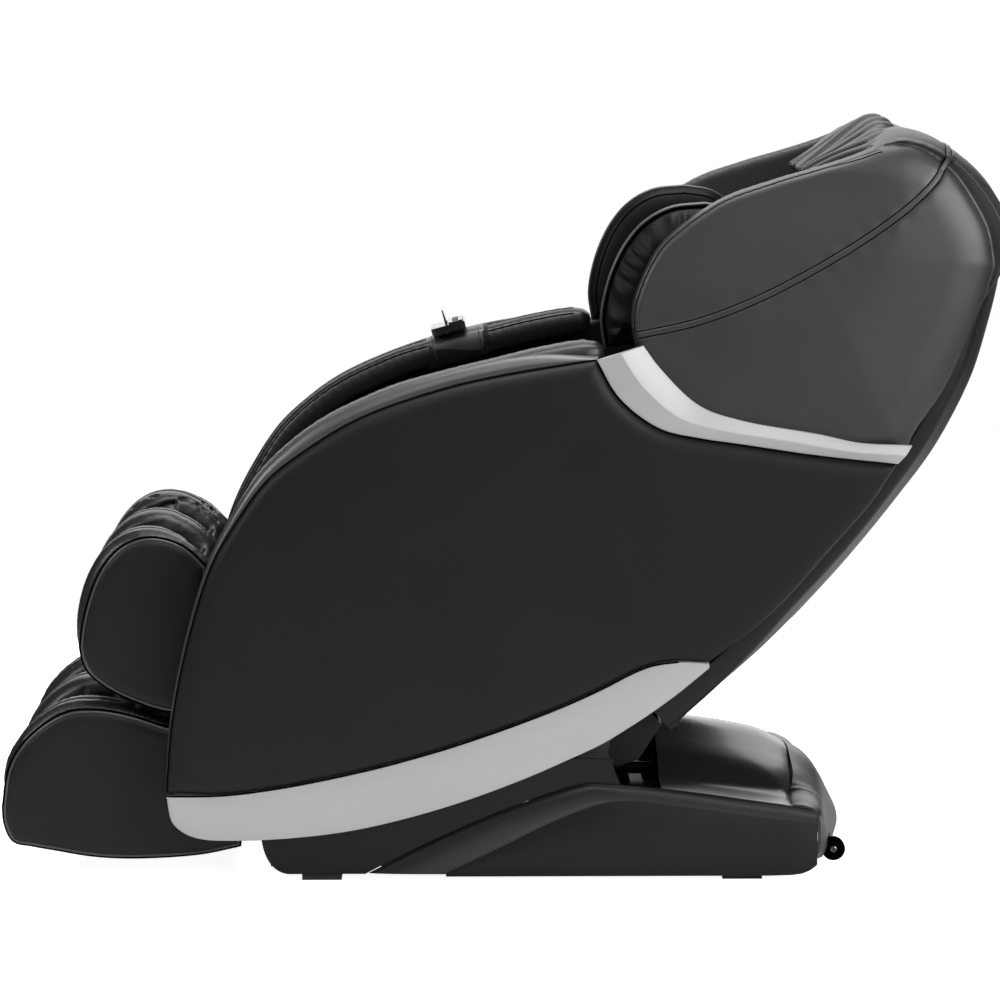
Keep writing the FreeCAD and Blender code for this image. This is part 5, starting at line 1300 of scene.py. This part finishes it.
    def build(self, shop: Workshop) -> None:
        """Builds and dresses the hood.

        Args:
            shop: where pieces are fitted.
        """
        f = shop.finishes
        body = shop.fit(self.shell(), f.hood, "cocoon", "hood_leather", "hood")
        on = surface(body)
        seams = {side.tag: line for side, line in self.seams.items()} | {"over": self.top_seam}
        for tag, line in seams.items():
            welt = ribbon(f"hood_welt_{tag}", line, 4.2, 1.7, -0.8)
            shop.fit(welt, f.hood, "cocoon", "hood_leather")
            on_welt = surface(welt)
            for k, off in enumerate((-2.7, 2.7)):
                row = laid(on_welt, beside(line, off), 0.1)
                shop.fit(stitched(f"hood_stitch_{tag}_{k}", row), f.thread, "cocoon", "hood_leather")
                # Near-black tubes beside each welt paint the shade in the seam's grooves.
                edge = laid(on, beside(line, off * 1.75), -0.1)
                shop.fit(tube(f"hood_seam_{tag}_{k}", edge, 1.0), f.seam, "cocoon", "hood_leather")
        for side in Side:
            back = laid(on, walk([(x, y * -side.value, z) for x, y, z in self.rear], 80), -1.2)
            shop.fit(tube(f"hood_rear_welt_{side.tag}", back, 3.6), f.hood, "cocoon", "hood_leather")
            front = walk([(x, side.value * 338.0, z) for x, z in self.front[1:]], 160)
            welt = laid(on, front, -0.6)
            shop.fit(tube(f"hood_edge_welt_{side.tag}", welt, 2.0), f.piping, "cocoon", "hood_leather")
            # A near-black tube under the edge welt paints the shade beneath it.
            under = [(x + 4.6, y * 1.012, z - 3.4) for x, y, z in welt]
            shop.fit(tube(f"hood_edge_seam_{side.tag}", laid(on, under, 0.0), 0.9), f.seam, "cocoon",
                     "hood_leather")
        shop.fit(self.flap(), f.hood, "cocoon", "hood_leather", "pillow_strap")


COVER_MID = ((793, 964), (784, 901), (768, 836), (748, 772), (718, 707), (680, 642), (631, 577), (578, 511),
             (522, 446), (462, 385), (395, 328), (330, 283), (264, 252), (246, 239))
COVER_EDGE = ((748, 964), (733, 915), (716, 863), (698, 802), (670, 740), (636, 678), (592, 616), (545, 554),
              (492, 492), (436, 431), (379, 367), (323, 311), (268, 260), (249, 243))


@dataclass
class BackCover:
    """The dark rear shell, a shallow pan from the hood down to the seat."""

    half: float = 312.0
    wall: float = 5.0
    depth: float = 26.0
    drawn: tuple[Flat, ...] = ((0.0, 12.0), (0.15, 9.5), (0.5, 8.0), (0.65, 6.0), (0.8, 1.0), (1.0, 0.0))

    def build(self, shop: Workshop) -> None:
        """Builds and dresses the cover.

        Args:
            shop: where pieces are fitted.
        """
        count = 90
        built = walk(COVER_MID, count)
        drawn = np.interp(np.linspace(0, 1, count), *zip(*self.drawn))
        middle = [(x - n[0] * d, z - n[1] * d) for (x, z), n, d in zip(built, lefts(built), drawn)]
        edge = walk(COVER_EDGE, count)
        curve = walk([(0.0, 0.0), (0.35, 0.13), (0.7, 0.52), (0.94, 0.97)], 20)
        stations = [(share, bend, 0.0) for share, bend in curve]
        stations += [(0.966, 1.0, 1.2), (0.985, 1.0, 4.0), (0.995, 1.0, 8.5), (1.0, 1.0, 15.0), (1.0, 1.0, 26.0)]
        stations = [(-share, bend, depth) for share, bend, depth in stations[:0:-1]] + stations
        rows = []
        for share, bend, depth in stations:
            tail = 16.0 * np.clip(np.linspace(-2.3, 1.0, count), 0.0, 1.0) * (depth == self.depth)
            plain = blend(middle, edge, bend)
            line = [(x - n[0] * (depth + d), z - n[1] * (depth + d))
                    for (x, z), n, d in zip(plain, lefts(plain), tail)]
            lining = shifted(line, -self.wall if depth < self.depth else 0.0)[::-1]
            rows.append([(x, share * self.half, z) for x, z in line]
                        + [(x, share * (self.half - self.wall), z) for x, z in lining])
        plastic = shop.finishes.plastic
        shop.fit(skin("back_shell", rows, sharp=40), plastic, "cocoon", "base_plastic", "back_cover")
        face = ((262, 250), (259, 262), (240, 274), (229, 272), (232, 264), (248, 244))
        rows = [[(x, share * (self.half - 1.0), z) for x, z in face] for share in np.linspace(-1, 1, 9)]
        shop.fit(skin("tail_face", rows, sharp=40), plastic, "cocoon", "base_plastic")


@dataclass
class ShoulderWing:
    """An air pad beside the shoulder, with a pleated gusset and piping."""

    side: Side
    front: tuple[Flat, ...] = ((151, 838), (146, 876), (151, 914), (164, 956), (184, 994), (211, 1024),
                               (248, 1044), (298, 1050))
    top: tuple[Flat, ...] = ((298, 1050), (346, 1041), (377, 1013), (387, 970))
    rear: tuple[Flat, ...] = ((387, 970), (330, 862))
    low: tuple[Flat, ...] = ((330, 862), (151, 838))

    def ring(self, shape: Outline, y: float, inset: float, pleat: float) -> list[Place]:
        """One ring of the pad, drawn into pleats.

        Args:
            shape: the outline.
            y: the ring's place across the chair.
            inset: how far inside the outline it lies.
            pleat: height of its pleats.

        Returns:
            The ring.
        """
        plain, deep = shape.inset(inset), shape.inset(inset + 4.0)
        made = []
        for i, (a, b) in enumerate(zip(plain, deep)):
            wave = 0.5 + 0.5 * math.sin(i * 2 * math.pi / 11.5 + 2.2 * math.sin(i / 8.3) + y * 0.11)
            share = pleat * wave / 4.0
            made.append((a[0] + (b[0] - a[0]) * share, self.side.value * y, a[1] + (b[1] - a[1]) * share))
        return made

    def build(self, shop: Workshop) -> None:
        """Builds and dresses the wing.

        Args:
            shop: where pieces are fitted.
        """
        f, s, tag = shop.finishes, self.side.value, self.side.tag
        shape = outline(2.6, self.front, self.top, self.rear, self.low)
        gusset = [(297.3, 40, 0.0), (297.0, 32, 1.5), (294.5, 24, 5.0), (289.5, 15, 6.5), (283.5, 8, 5.0),
                  (278.0, 3.5, 2.0), (275.0, 2.0, 0.0)]
        face = [(271, -1.0, 0.0), (263, -4.5, 0.0), (255, -3.5, 0.0), (249, 0.5, 0.0), (245, 5.0, 0.0),
                (241, 12.0, 0.0), (238.5, 22.0, 0.0), (237.5, 34.0, 0.0)]
        rows = [self.ring(shape, *row) for row in gusset + face]
        wing = skin(f"wing_{tag}", rows, sharp=180)
        shop.fit(wing, f.wing, "cocoon", "hood_leather", f"shoulder_wing_{tag}")
        # Two light piping loops, and two near-black loops that paint the shade beside the piping and in the groove
        # inside the face.
        for k, (y, inset, radius, finish) in enumerate(((266.5, -4.4, 2.6, f.piping), (261.5, -5.0, 2.6, f.piping),
                                                        (272.5, -1.4, 2.2, f.seam), (244.6, 6.0, 1.4, f.seam))):
            loop = [(x, s * y, z) for x, z in shape.inset(inset)]
            shop.fit(tube(f"wing_piping_{tag}_{k}", loop, radius, True), finish, "cocoon", "hood_leather")


# Arms

ROLL_TOP = ((-480, 470), (-463, 512), (-436, 566), (-385, 647), (-330, 700), (-279, 735), (-228, 760), (-177, 781),
            (-76, 809), (-25, 821), (26, 834), (76, 844), (112, 850), (144, 851))


def arm_line() -> list[Flat]:
    """The middle line of an arm roll, along the rim and then on towards the wing."""
    return shifted(walk(ROLL_TOP, 28), -24.0)


@dataclass
class Arm:
    """An armrest's padded roll, with its sewn lines and welts."""

    side: Side
    roll_y: float = 303.0
    half_wide: float = 31.0
    half_high: float = 24.0

    def build(self, shop: Workshop) -> None:
        """Builds and dresses the arm.

        Args:
            shop: where pieces are fitted.
        """
        f, s, tag = shop.finishes, self.side.value, self.side.tag
        line = arm_line()
        shape = [(0, 0.6, 0.5), (0.03, 0.86, 0.8), (0.09, 1, 1), (0.93, 1, 1), (0.965, 0.96, 0.94),
                 (0.985, 0.85, 0.8), (1, 0.55, 0.5)]
        roll = pad(f"arm_roll_soft_{tag}", line, s * self.roll_y, self.half_wide, self.half_high, shape, 5.0)
        refined(roll)
        dense = walk(line, 220)
        tops = []
        for across, up in ((-4.0, 24.0), (-27.0, 17.0)):
            tops.append([(x + n[0] * up, s * (self.roll_y + across), z + n[1] * up)
                         for (x, z), n in zip(dense, lefts(dense))])
        grooved(roll, tops, 1.4, 2.6, 0.3, 17.0)
        shop.fit(roll, f.seat, "cocoon", "seat_leather", f"arm_roll_{tag}")
        on = surface(roll)
        # Each sewn line gets a piping welt and, beside it, a near-black tube that paints the shade of its groove.
        for k, top in enumerate(tops):
            for j, (off, radius, finish) in enumerate(((0.0, 1.4, f.piping), (2.4, 0.9, f.seam))):
                line = [(x, y - s * off, z) for x, y, z in top[8:-8]]
                welt = tube(f"arm_welt_{tag}_{k}{j}", laid(on, line, 0.3), radius)
                shop.fit(welt, finish, "cocoon", "seat_leather")


@dataclass
class ForearmPads:
    """The two padded floors under the arm rolls."""

    top: tuple[Flat, ...] = ((-374, 505), (-330, 560), (-262, 610), (-160, 655), (-50, 684), (40, 700), (110, 706))

    def build(self, shop: Workshop) -> None:
        """Builds and dresses both pads.

        Args:
            shop: where pieces are fitted.
        """
        f = shop.finishes
        made = remeshed(copied("forearm_pads", "arm_pads"), 6.0)
        relaxed(made, 6)
        inflated(made, 5.0, held=lambda p: (np.abs(p[:, 1]) > 325) * 1.0)
        refined(made)
        lines = []
        for side in Side:
            inner = [(x, side.value * 262.0, z) for x, z in walk(self.top, 200)]
            lines += [laid(surface(made), inner, 0.0)]
        grooved(made, lines, 1.8, 3.5, 0.4, 16.0)
        shop.fit(made, f.seat, "cocoon", "seat_leather", "arm_pads")
        for side, line in zip(Side, lines):
            welt = tube(f"forearm_welt_{side.tag}", laid(surface(made), line, 0.4), 1.8)
            shop.fit(welt, f.piping, "cocoon", "seat_leather")


@dataclass
class Controller:
    """The leather sleeve round the right arm roll, with the controller on it."""

    from_x: float = -128.0
    to_x: float = -30.0

    def build(self, shop: Workshop) -> None:
        """Builds the sleeve and dresses the controller.

        Args:
            shop: where pieces are fitted.
        """
        f = shop.finishes
        dense = walk(arm_line(), 400)
        line = [p for p in dense if self.from_x <= p[0] <= self.to_x]
        rows = []
        last = len(line) - 1
        for i, ((x, z), n) in enumerate(zip(line, lefts(line))):
            edge = min(i, last - i)
            grow = 1.6 + 1.6 * min(edge / 4.0, 1.0)
            rows.append(pad_ring(x, z, n, 303.0, 31.0 + grow, 24.0 + grow, 12))
        sleeve = skin("sleeve", rows, capped=False, sharp=180)
        shop.fit(sleeve, f.rim, "cocoon", "panel_leather")
        for k, i in enumerate((5, last - 5)):
            (x, z), n = line[i], lefts(line)[i]
            loop = pad_ring(x, z, n, 303.0, 34.4, 27.4, 12)
            shop.fit(tube(f"sleeve_seam_{k}", loop, 0.9, True), f.piping, "cocoon", "panel_leather")
        shop.dress(f.panel, "remote_band")
        shop.dress(f.gloss, "remote_cradle", "handset")
        shop.dress(f.key, "key_power", "key_recline", "key_massage")


# Seat, back and pillow

BACK_LEAN = math.radians(33.0)


def back_point(s: float, n: float) -> Flat:
    """A point along the back line (s) and in front of it (n)."""
    ux, uz = math.sin(BACK_LEAN), math.cos(BACK_LEAN)
    return 227.0 + ux * s - uz * n, 399.0 + uz * s + ux * n


@dataclass
class Cushions:
    """The seat cushion, the back cushion and the head pillow."""

    half: float = 235.0
    gap: float = 9.0

    def seat(self) -> bpy.types.Object:
        """The seat cushion, crowned, with two sewn channels."""
        path = [(-378, 455), (-364, 449), (-334, 442), (-294, 440), (-200, 440), (-60, 440), (60, 440), (116, 440)]
        shape = [(0, 0.95, 0.4), (0.03, 0.98, 0.6), (0.06, 1, 0.76), (0.12, 1, 0.92), (0.9, 1, 0.96),
                 (0.96, 0.99, 0.84), (1, 0.95, 0.5)]
        made = pad("seat_pad", path, 0, self.half - self.gap, 38.5 - self.gap * 0.5, shape, 8.0)
        remeshed(made, 7.0)
        inflated(made, 20.0, held=lambda p: (p[:, 2] < 412) * 1.0)
        refined(made)
        lines = [[(x, y, 478.0) for y in np.linspace(-220, 220, 150)] for x in (-240.0, -90.0, 50.0)]
        lines += [[(x, y, 478.0) for x in np.linspace(-240, 100, 120)] for y in (-120.0, 120.0)]
        on = surface(made)
        return grooved(made, [laid(on, line, 0.0) for line in lines], 5.0, 7.0, 0.6, 19.0)

    def back(self) -> bpy.types.Object:
        """The back cushion, with its row of sewn channels."""
        middle = 130.0 - 24.0
        path = [back_point(s, middle) for s in (40, 150, 300, 450, 600, 695)]
        shape = [(0, 0.92, 0.5), (0.04, 0.98, 0.85), (0.1, 1, 1), (0.9, 1, 1), (0.96, 0.98, 0.85), (1, 0.92, 0.5)]
        made = pad("back_pad", path, 0, self.half - self.gap, 24.0 - self.gap * 0.45, shape, 8.0)
        remeshed(made, 7.0)
        low_x, low_z = back_point(0, middle - self.gap)
        up, back = math.sin(BACK_LEAN), math.cos(BACK_LEAN)
        inflated(made, 14.0, held=lambda p: ((p[:, 2] - low_z) * up - (p[:, 0] - low_x) * back < 0) * 1.0)
        refined(made)
        lines = []
        for s in (150, 255, 360, 465, 570):
            x, z = back_point(s, 131.0)
            lines.append([(x, y, z) for y in np.linspace(-225, 225, 150)])
        for y in (-132.0, 132.0):
            run = [back_point(s, 131.0) for s in np.linspace(60, 680, 200)]
            lines.append([(x, y, z) for x, z in run])
        on = surface(made)
        return grooved(made, [laid(on, line, 0.0) for line in lines], 5.0, 7.0, 0.6, 19.0)

    def pillow(self) -> bpy.types.Object:
        """The head pillow, two lobes with a sewn line between them."""
        middle = 130.0 + 1.5 + 26.0
        path = [back_point(s, middle) for s in (538, 625, 712)]
        shape = [(0, 0.9, 0.35), (0.08, 0.97, 0.75), (0.25, 1, 1), (0.75, 1, 1), (0.92, 0.97, 0.75), (1, 0.9, 0.35)]
        made = pad("pillow", path, 0, 142.0, 22.0, shape, 7.0)
        remeshed(made, 6.0)
        inflated(made, 14.0)
        refined(made)
        x, z = back_point(625, 160.0)
        on = surface(made)
        line = [(x, y, z) for y in np.linspace(-140, 140, 100)]
        return grooved(made, [laid(on, line, 0.0)], 5.0, 7.0, 0.8, 16.0)

    def build(self, shop: Workshop) -> None:
        """Builds and dresses the three.

        Args:
            shop: where pieces are fitted.
        """
        f = shop.finishes
        for made, slot, node, fill in ((self.seat(), "seat_leather", "seat_cushion", 0.7),
                                       (self.back(), "seat_leather", "back_cushion", 0.7),
                                       (self.pillow(), "hood_leather", "head_pillow", 0.6)):
            shop.fit(made, f.seat, "cocoon", slot, node)


# Leg unit

CALF_COVER = (((-475, 492), (-504, 519), (-533, 532), (-563, 535), (-592, 526), (-616, 506), (-637, 474),
               (-653, 430), (-661, 394), (-664, 369)),
              ((-664, 369), (-661, 350), (-652, 330), (-624, 306), (-579, 284), (-535, 270), (-475, 266)),
              ((-475, 266), (-475, 492)))
FOOT_COVER = (((-436, 205), (-546, 240), (-596, 256), (-645, 264), (-687, 261), (-722, 243), (-757, 211),
               (-778, 174), (-788, 114)),
              ((-788, 114), (-786, 89), (-774, 63), (-748, 57), (-710, 50), (-650, 40), (-586, 37),
               (-486, 43), (-426, 55)),
              ((-426, 55), (-422, 120), (-436, 205)))


@dataclass
class LegPart:
    """The calf or the foot part of the leg unit: padded walls with wells, and two side covers."""

    name: str
    body: str
    cover: tuple[tuple[Flat, ...], ...]
    pads: str
    covers: str
    proud: float
    swell: float
    channels: tuple[float, ...] = (196.0, 222.0, 248.0)

    def swollen(self, obj: bpy.types.Object, rim: Sequence[Flat]) -> None:
        """Swells the walls' tops along their rim line.

        Args:
            obj: the pads.
            rim: the line of the walls' tops.
        """
        near = tree([(x, 0.0, z) for x, z in rim])
        spots, outward = coords(obj.data), point_normals(obj.data)
        for i, (x, y, z) in enumerate(spots):
            _, index, distance = near.find((x, 0.0, z))
            out = outward[i][2] * 0.7 - outward[i][0] * 0.7
            if distance > 0.045 or out <= 0.1 or abs(y) > 0.257:
                continue
            along = index / (len(rim) - 1)
            share = min(out / 0.5, 1.0) * math.cos(distance / 0.045 * math.pi / 2)
            share *= math.sin(math.pi * along ** 1.6) ** 0.8
            spots[i] += outward[i] * self.swell * MM * share * min((0.262 - abs(y)) / 0.02, 1.0)
        set_coords(obj.data, spots)

    def walls(self) -> bpy.types.Object:
        """The padded walls and floors, blown up, with sewn channels along the walls' tops.

        Returns:
            The pads.
        """
        made = remeshed(copied(f"{self.name}_pads_soft", self.pads), 6.0)
        relaxed(made, 6)
        inflated(made, 5.0, pressure=3.0, held=lambda p: (np.abs(p[:, 1]) > 256) * 1.0)
        refined(made)
        loop = outline(4.0, *self.cover[:1]).sides[0]
        rim = shifted(loop, self.proud * (1 if loop[0][0] > loop[-1][0] else -1))
        self.swollen(made, rim)
        relaxed(made, 2)
        on = surface(made)
        lines = []
        for y in self.channels:
            for sign in (-1, 1):
                lines.append(laid(on, [(x, sign * y, z) for x, z in rim], 0.0))
        lines.append(laid(on, [(x, 0.0, z) for x, z in rim], 0.0))
        return grooved(made, lines, 5.0, 4.6, 0.6, 17.0)

    def build(self, shop: Workshop) -> None:
        """Builds and dresses the part.

        Args:
            shop: where pieces are fitted.
        """
        f = shop.finishes
        pads = shop.fit(self.walls(), f.seat, self.body, "seat_leather", self.pads)
        shape = outline(6.0, *self.cover)
        profile = [(262.6, 6.0), (262.8, 1.5), (264.5, 0.3), (267.0, 0.6), (269.2, 2.6), (270.6, 6.5),
                   (271.6, 11.0), (272.2, 17.0)]
        for side in Side:
            plate = plated(f"{self.name}_cover_{side.tag}", shape, profile, side.value)
            nodes = (self.covers,) if side is Side.LEFT else ()
            shop.fit(plate, f.cover, self.body, "cover_leather", *nodes)
            # A light piping loop round the cover, and two near-black loops that paint the shade outside it and
            # inside the cover's face.
            for k, (y, inset, radius, finish) in enumerate(((265.4, -0.6, 2.4, f.piping), (263.4, -4.2, 2.0, f.seam),
                                                            (269.4, 5.4, 0.8, f.seam))):
                loop = [(x, side.value * y, z) for x, z in shape.inset(inset)]
                shop.fit(tube(f"{self.name}_piping_{side.tag}_{k}", loop, radius, True), finish, self.body,
                         "cover_leather")


# Base

SHOULDER_TOP = ((-221, 14), (-69, 89), (20, 125), (101, 152), (123, 156), (175, 153), (262, 144), (381, 127),
                (440, 119), (479, 112))
SHOULDER_LOW = ((-100, 14), (-2, 62), (64, 95), (143, 125), (183, 129), (262, 121), (381, 104), (443, 97),
                (479, 93))
SKIRT_HEEL = ((405, 10), (440, 11), (455, 13), (468, 18), (479, 27))
DOME_LINE = ((236, 206), (294, 204), (363, 194), (405, 184), (432, 172), (454, 158), (461, 140))
DECK_LINE = ((236, 147), (294, 140), (363, 130), (405, 124), (432, 120), (440, 117), (445, 108))
# The dome's cross section over the deck, as built here and as in the CAD shells: share of the half width, rise.
DOME_RISE = ((0.0, 1.0), (0.1, 0.96), (0.2, 0.87), (0.3, 0.77), (0.42, 0.65), (0.52, 0.53), (0.6, 0.38),
             (0.66, 0.22), (0.7, 0.1), (0.76, 0.02), (0.83, 0.0), (1.0, 0.0))
CAP_RISE = ((0.0, 1.0), (0.33, 0.94), (0.5, 0.8), (0.6, 0.48), (0.66, 0.16), (0.73, 0.03), (0.82, 0.0), (1.0, 0.0))


@dataclass
class Base:
    """The base: its skirt with the rounded shoulder, side plates, glossy hump, rear end, feet and wheels."""

    skirt_y: float = 305.0
    plate_y: float = 292.0
    floor: float = 10.0

    def shoulder(self, side: Side) -> bpy.types.Object:
        """The rounded shoulder on one side."""
        top, low = walk(SHOULDER_TOP, 90), walk(SHOULDER_LOW, 90)
        s = side.value
        rows = []
        for (ax, az), (bx, bz) in zip(top, low):
            ring = [(0.0, 292.6), (0.03, 295.6), (0.12, 298.8), (0.3, 301.6), (0.55, 303.4), (0.8, 304.3),
                    (0.97, 304.6), (1.0, 303.6), (1.0, 292.6)]
            rows.append([(ax + (bx - ax) * t, s * y, az + (bz - az) * t) for t, y in ring])
        return strip(f"shoulder_{side.tag}", rows, 50)

    def wall(self, side: Side) -> bpy.types.Object:
        """The flat dark side wall under the shoulder."""
        s, y = side.value, self.skirt_y
        rows = []
        for bx, bz in walk(SHOULDER_LOW, 130):
            top = bz + (0.4 if bz > 20 else 0.0)
            f = float(np.interp(bx, [x for x, _ in SKIRT_HEEL], [z for _, z in SKIRT_HEEL]))
            rows.append([(bx, s * (y - 5), top), (bx, s * (y - 0.6), top), (bx, s * y, top - 1.0),
                         (bx, s * y, f + 3.0), (bx, s * (y - 1.6), f), (bx, s * (y - 5), f)])
        return strip(f"skirt_wall_{side.tag}", rows, 35)

    def hump(self) -> bpy.types.Object:
        """The glossy dome over the motors with the deck round it.

        Returns:
            The hump.
        """
        half = [(-y, rise) for y, rise in DOME_RISE[::-1]]
        rows = []
        for y, share in walk(half + list(DOME_RISE[1:]), 81):
            top = walk(blend(DECK_LINE, DOME_LINE, min(max(share, 0.0), 1.0)), 40)
            low = [(x, z - 5) for x, z in top][::-1]
            rows.append([(x, y * self.plate_y, z) for x, z in top + low])
        return skin("hump", rows, sharp=50)

    def cap(self) -> bpy.types.Object:
        """The round rear end, following the hump's softer sides.

        Returns:
            The rear end.
        """
        made = copied("rear_end", "rear_cap")
        spots = coords(made.data) / MM
        share = np.abs(spots[:, 1]) / self.skirt_y
        built = np.interp(share * self.skirt_y / self.plate_y, *zip(*walk(DOME_RISE, 160)))
        high = np.interp(spots[:, 0], *zip(*walk(((440, 38), (456, 40), (488, 26), (510, 12), (532, 0)), 60)))
        spots[:, 2] -= np.maximum(np.interp(share, *zip(*walk(CAP_RISE, 160))) - built, 0.0) * high
        set_coords(made.data, spots * MM)
        return creased(made, 32.0)

    def hub(self, wheel: str) -> bpy.types.Object:
        """The bright hub that shows on both faces of a transport wheel.

        Args:
            wheel: the wheel's node.

        Returns:
            The hub.
        """
        low, high = (np.array(corner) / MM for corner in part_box(wheel))
        middle, half = (low + high) / 2, (high[1] - low[1]) / 2
        rows = []
        for radius, out in ((0.4, 0.9), (3.4, 0.8), (4.8, 0.3), (5.2, -1.0)):
            rows.append([(middle[0] + radius * math.cos(a), middle[1] - half - out, middle[2] + radius * math.sin(a))
                         for a in np.linspace(0, 2 * math.pi, 33)[:-1]])
        rows += [[(x, 2 * middle[1] - y, z) for x, y, z in row] for row in rows[::-1]]
        return skin(f"hub_{wheel}", rows, sharp=40)

    def build(self, shop: Workshop) -> None:
        """Builds and dresses the base.

        Args:
            shop: where pieces are fitted.
        """
        f = shop.finishes
        for side in Side:
            nodes = ("base_skirt",) if side is Side.LEFT else ()
            shop.fit(self.shoulder(side), f.shoulder, "base", "base_plastic", *nodes)
            shop.fit(self.wall(side), f.plastic, "base", "base_plastic")
        shop.fit(self.hump(), f.gloss, "base", "gloss_cover", "hump_cover")
        shop.fit(self.cap(), f.shoulder, "base", "base_plastic", "rear_cap")
        shop.dress(f.plastic, "base_side_plates", "control_box")
        shop.dress(f.rubber, "base_feet")
        for tag in ("left", "right"):
            wheel = f"transport_wheel_{tag}"
            shop.dress(f.seam, wheel)
            shop.fit(self.hub(wheel), f.rod, wheel, "base_plastic")
        shop.dress(f.key, "power_panel", "power_switch")
        shop.dress(f.steel, "base_frame", "cam_plates", "wheel_brackets")
        shop.dress(f.steel, "glide_rails", "glide_rod")
        shop.dress(f.plastic, "glide_actuator", "air_pump")


def dress_mechanism(shop: Workshop) -> None:
    """Gives the carried-over working parts their finishes.

    Args:
        shop: where pieces are fitted.
    """
    f = shop.finishes
    shop.dress(f.plastic, "underbody_cover")
    shop.dress(f.steel, "seat_frame", "calf_frame", "glide_carriage", "massage_rails")
    shop.dress(f.rod, "leg_rod", "pinion_shaft")
    shop.dress(f.steel, "foot_guides")
    shop.dress(f.housing, "leg_actuator", "massage_carriage", "roller_arms")
    shop.dress(f.roller, "upper_rollers", "lower_rollers", "foot_rollers")
    shop.dress(f.rubber, "tilt_rollers")


# Studio

@dataclass
class Studio:
    """A pale floor and backdrop, soft lamps and the camera."""

    eye: Place = (-0.088, -6.075, 1.3794)
    lens: float = 136.35
    yaw: float = 0.717
    pitch: float = 7.669
    fill: float = 0.10
    floor_reach: float = 2.3

    def camera(self) -> None:
        """Sets the camera at the photograph's angle."""
        data = bpy.data.cameras.new("camera")
        data.lens = self.lens
        data.sensor_width = 36.0
        data.clip_end = 60.0
        made = bpy.data.objects.new("camera", data)
        made.location = self.eye
        made.rotation_euler = (math.radians(90 - self.pitch), 0.0, math.radians(-self.yaw))
        bpy.context.scene.collection.objects.link(made)
        bpy.context.scene.camera = made

    def lamp(self, name: str, place: Place, target: Place, size: float, power: float) -> None:
        """Adds a soft lamp.

        Args:
            name: its name.
            place: where it hangs, in metres.
            target: what it points at.
            size: its width.
            power: its power in watts.
        """
        data = bpy.data.lights.new(name, "AREA")
        data.shape = "SQUARE"
        data.size = size
        data.energy = power
        made = bpy.data.objects.new(name, data)
        made.location = place
        made.rotation_euler = (Vector(target) - Vector(place)).to_track_quat("-Z", "Y").to_euler()
        bpy.context.scene.collection.objects.link(made)

    def seen_white(self, graph: Graph) -> Wire:
        """1 where the background is seen directly or through glass."""
        rays = graph.tree.nodes.new("ShaderNodeLightPath")
        camera = Wire(graph, rays.outputs["Is Camera Ray"])
        through = Wire(graph, rays.outputs["Is Transmission Ray"])
        return graph.node("ShaderNodeMath", {"operation": "MAXIMUM"}, {0: camera, 1: through})

    def floor(self) -> None:
        """Adds the pale floor, which keeps the chair's shadow."""
        reach = self.floor_reach / MM
        ring = [(reach * math.cos(math.pi * k / 48), reach * math.sin(math.pi * k / 48), -0.5) for k in range(96)]
        made = piece("floor", ring, [tuple(range(96))])
        g = Graph("floor")
        matte = g.node("ShaderNodeBsdfDiffuse", {}, {"Color": (0.9, 0.9, 0.9, 1.0)})
        glow = g.node("ShaderNodeEmission", {}, {"Color": (1.0, 1.0, 1.0, 1.0), "Strength": 0.93})
        both = g.node("ShaderNodeAddShader", {}, {0: matte, 1: glow})
        g.node_output(g.node("ShaderNodeMixShader", {}, {0: self.seen_white(g), 1: matte, 2: both}))
        made.data.materials.append(g.material)

    def world(self) -> None:
        """Sets a plain white surround, weaker as a light."""
        world = bpy.data.worlds.new("studio")
        world.use_nodes = True
        nodes, links = world.node_tree.nodes, world.node_tree.links
        nodes.clear()
        rays = nodes.new("ShaderNodeLightPath")
        soft, white = nodes.new("ShaderNodeBackground"), nodes.new("ShaderNodeBackground")
        soft.inputs["Strength"].default_value = self.fill
        soft.inputs["Color"].default_value = white.inputs["Color"].default_value = (1.0, 1.0, 1.0, 1.0)
        mix, end = nodes.new("ShaderNodeMixShader"), nodes.new("ShaderNodeOutputWorld")
        links.new(rays.outputs["Is Camera Ray"], mix.inputs[0])
        links.new(soft.outputs[0], mix.inputs[1])
        links.new(white.outputs[0], mix.inputs[2])
        links.new(mix.outputs[0], end.inputs["Surface"])
        bpy.context.scene.world = world

    def build(self) -> None:
        """Sets up the studio."""
        bpy.context.scene.view_settings.view_transform = "Standard"
        self.camera()
        self.floor()
        self.world()
        self.lamp("top", (0.2, -0.2, 3.2), (0.1, 0.0, 0.6), 2.0, 80.0)
        self.lamp("front", (-3.0, -1.4, 2.4), (-0.2, 0.0, 0.5), 1.4, 50.0)
        self.lamp("rear", (3.5, -3.7, 2.0), (0.6, 0.0, 0.9), 2.6, 230.0)
        self.lamp("backdrop", (0.0, 4.2, 2.2), (0.0, 0.0, 0.7), 4.5, 95.0)
        self.lamp("camera side", (-0.6, -4.2, 4.4), (0.0, 0.0, 0.5), 2.2, 60.0)


def main() -> None:
    """Builds the whole chair and reports each piece."""
    logging.basicConfig(level=logging.INFO, format="%(message)s", stream=sys.stdout)
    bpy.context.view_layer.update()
    shop = Workshop(Finishes())
    for side in Side:
        SideShell(side).build(shop)
        ShoulderWing(side).build(shop)
        Arm(side).build(shop)
    Hood().build(shop)
    BackCover().build(shop)
    ForearmPads().build(shop)
    Controller().build(shop)
    Cushions().build(shop)
    LegPart("calf", "leg_rest", CALF_COVER, "calf_pads", "calf_covers", 9.0, 13.0).build(shop)
    LegPart("foot", "foot_unit", FOOT_COVER, "foot_pads", "foot_covers", 6.0, 11.0).build(shop)
    Base().build(shop)
    dress_mechanism(shop)
    Studio().build()


if __name__ == "__main__":
    main()
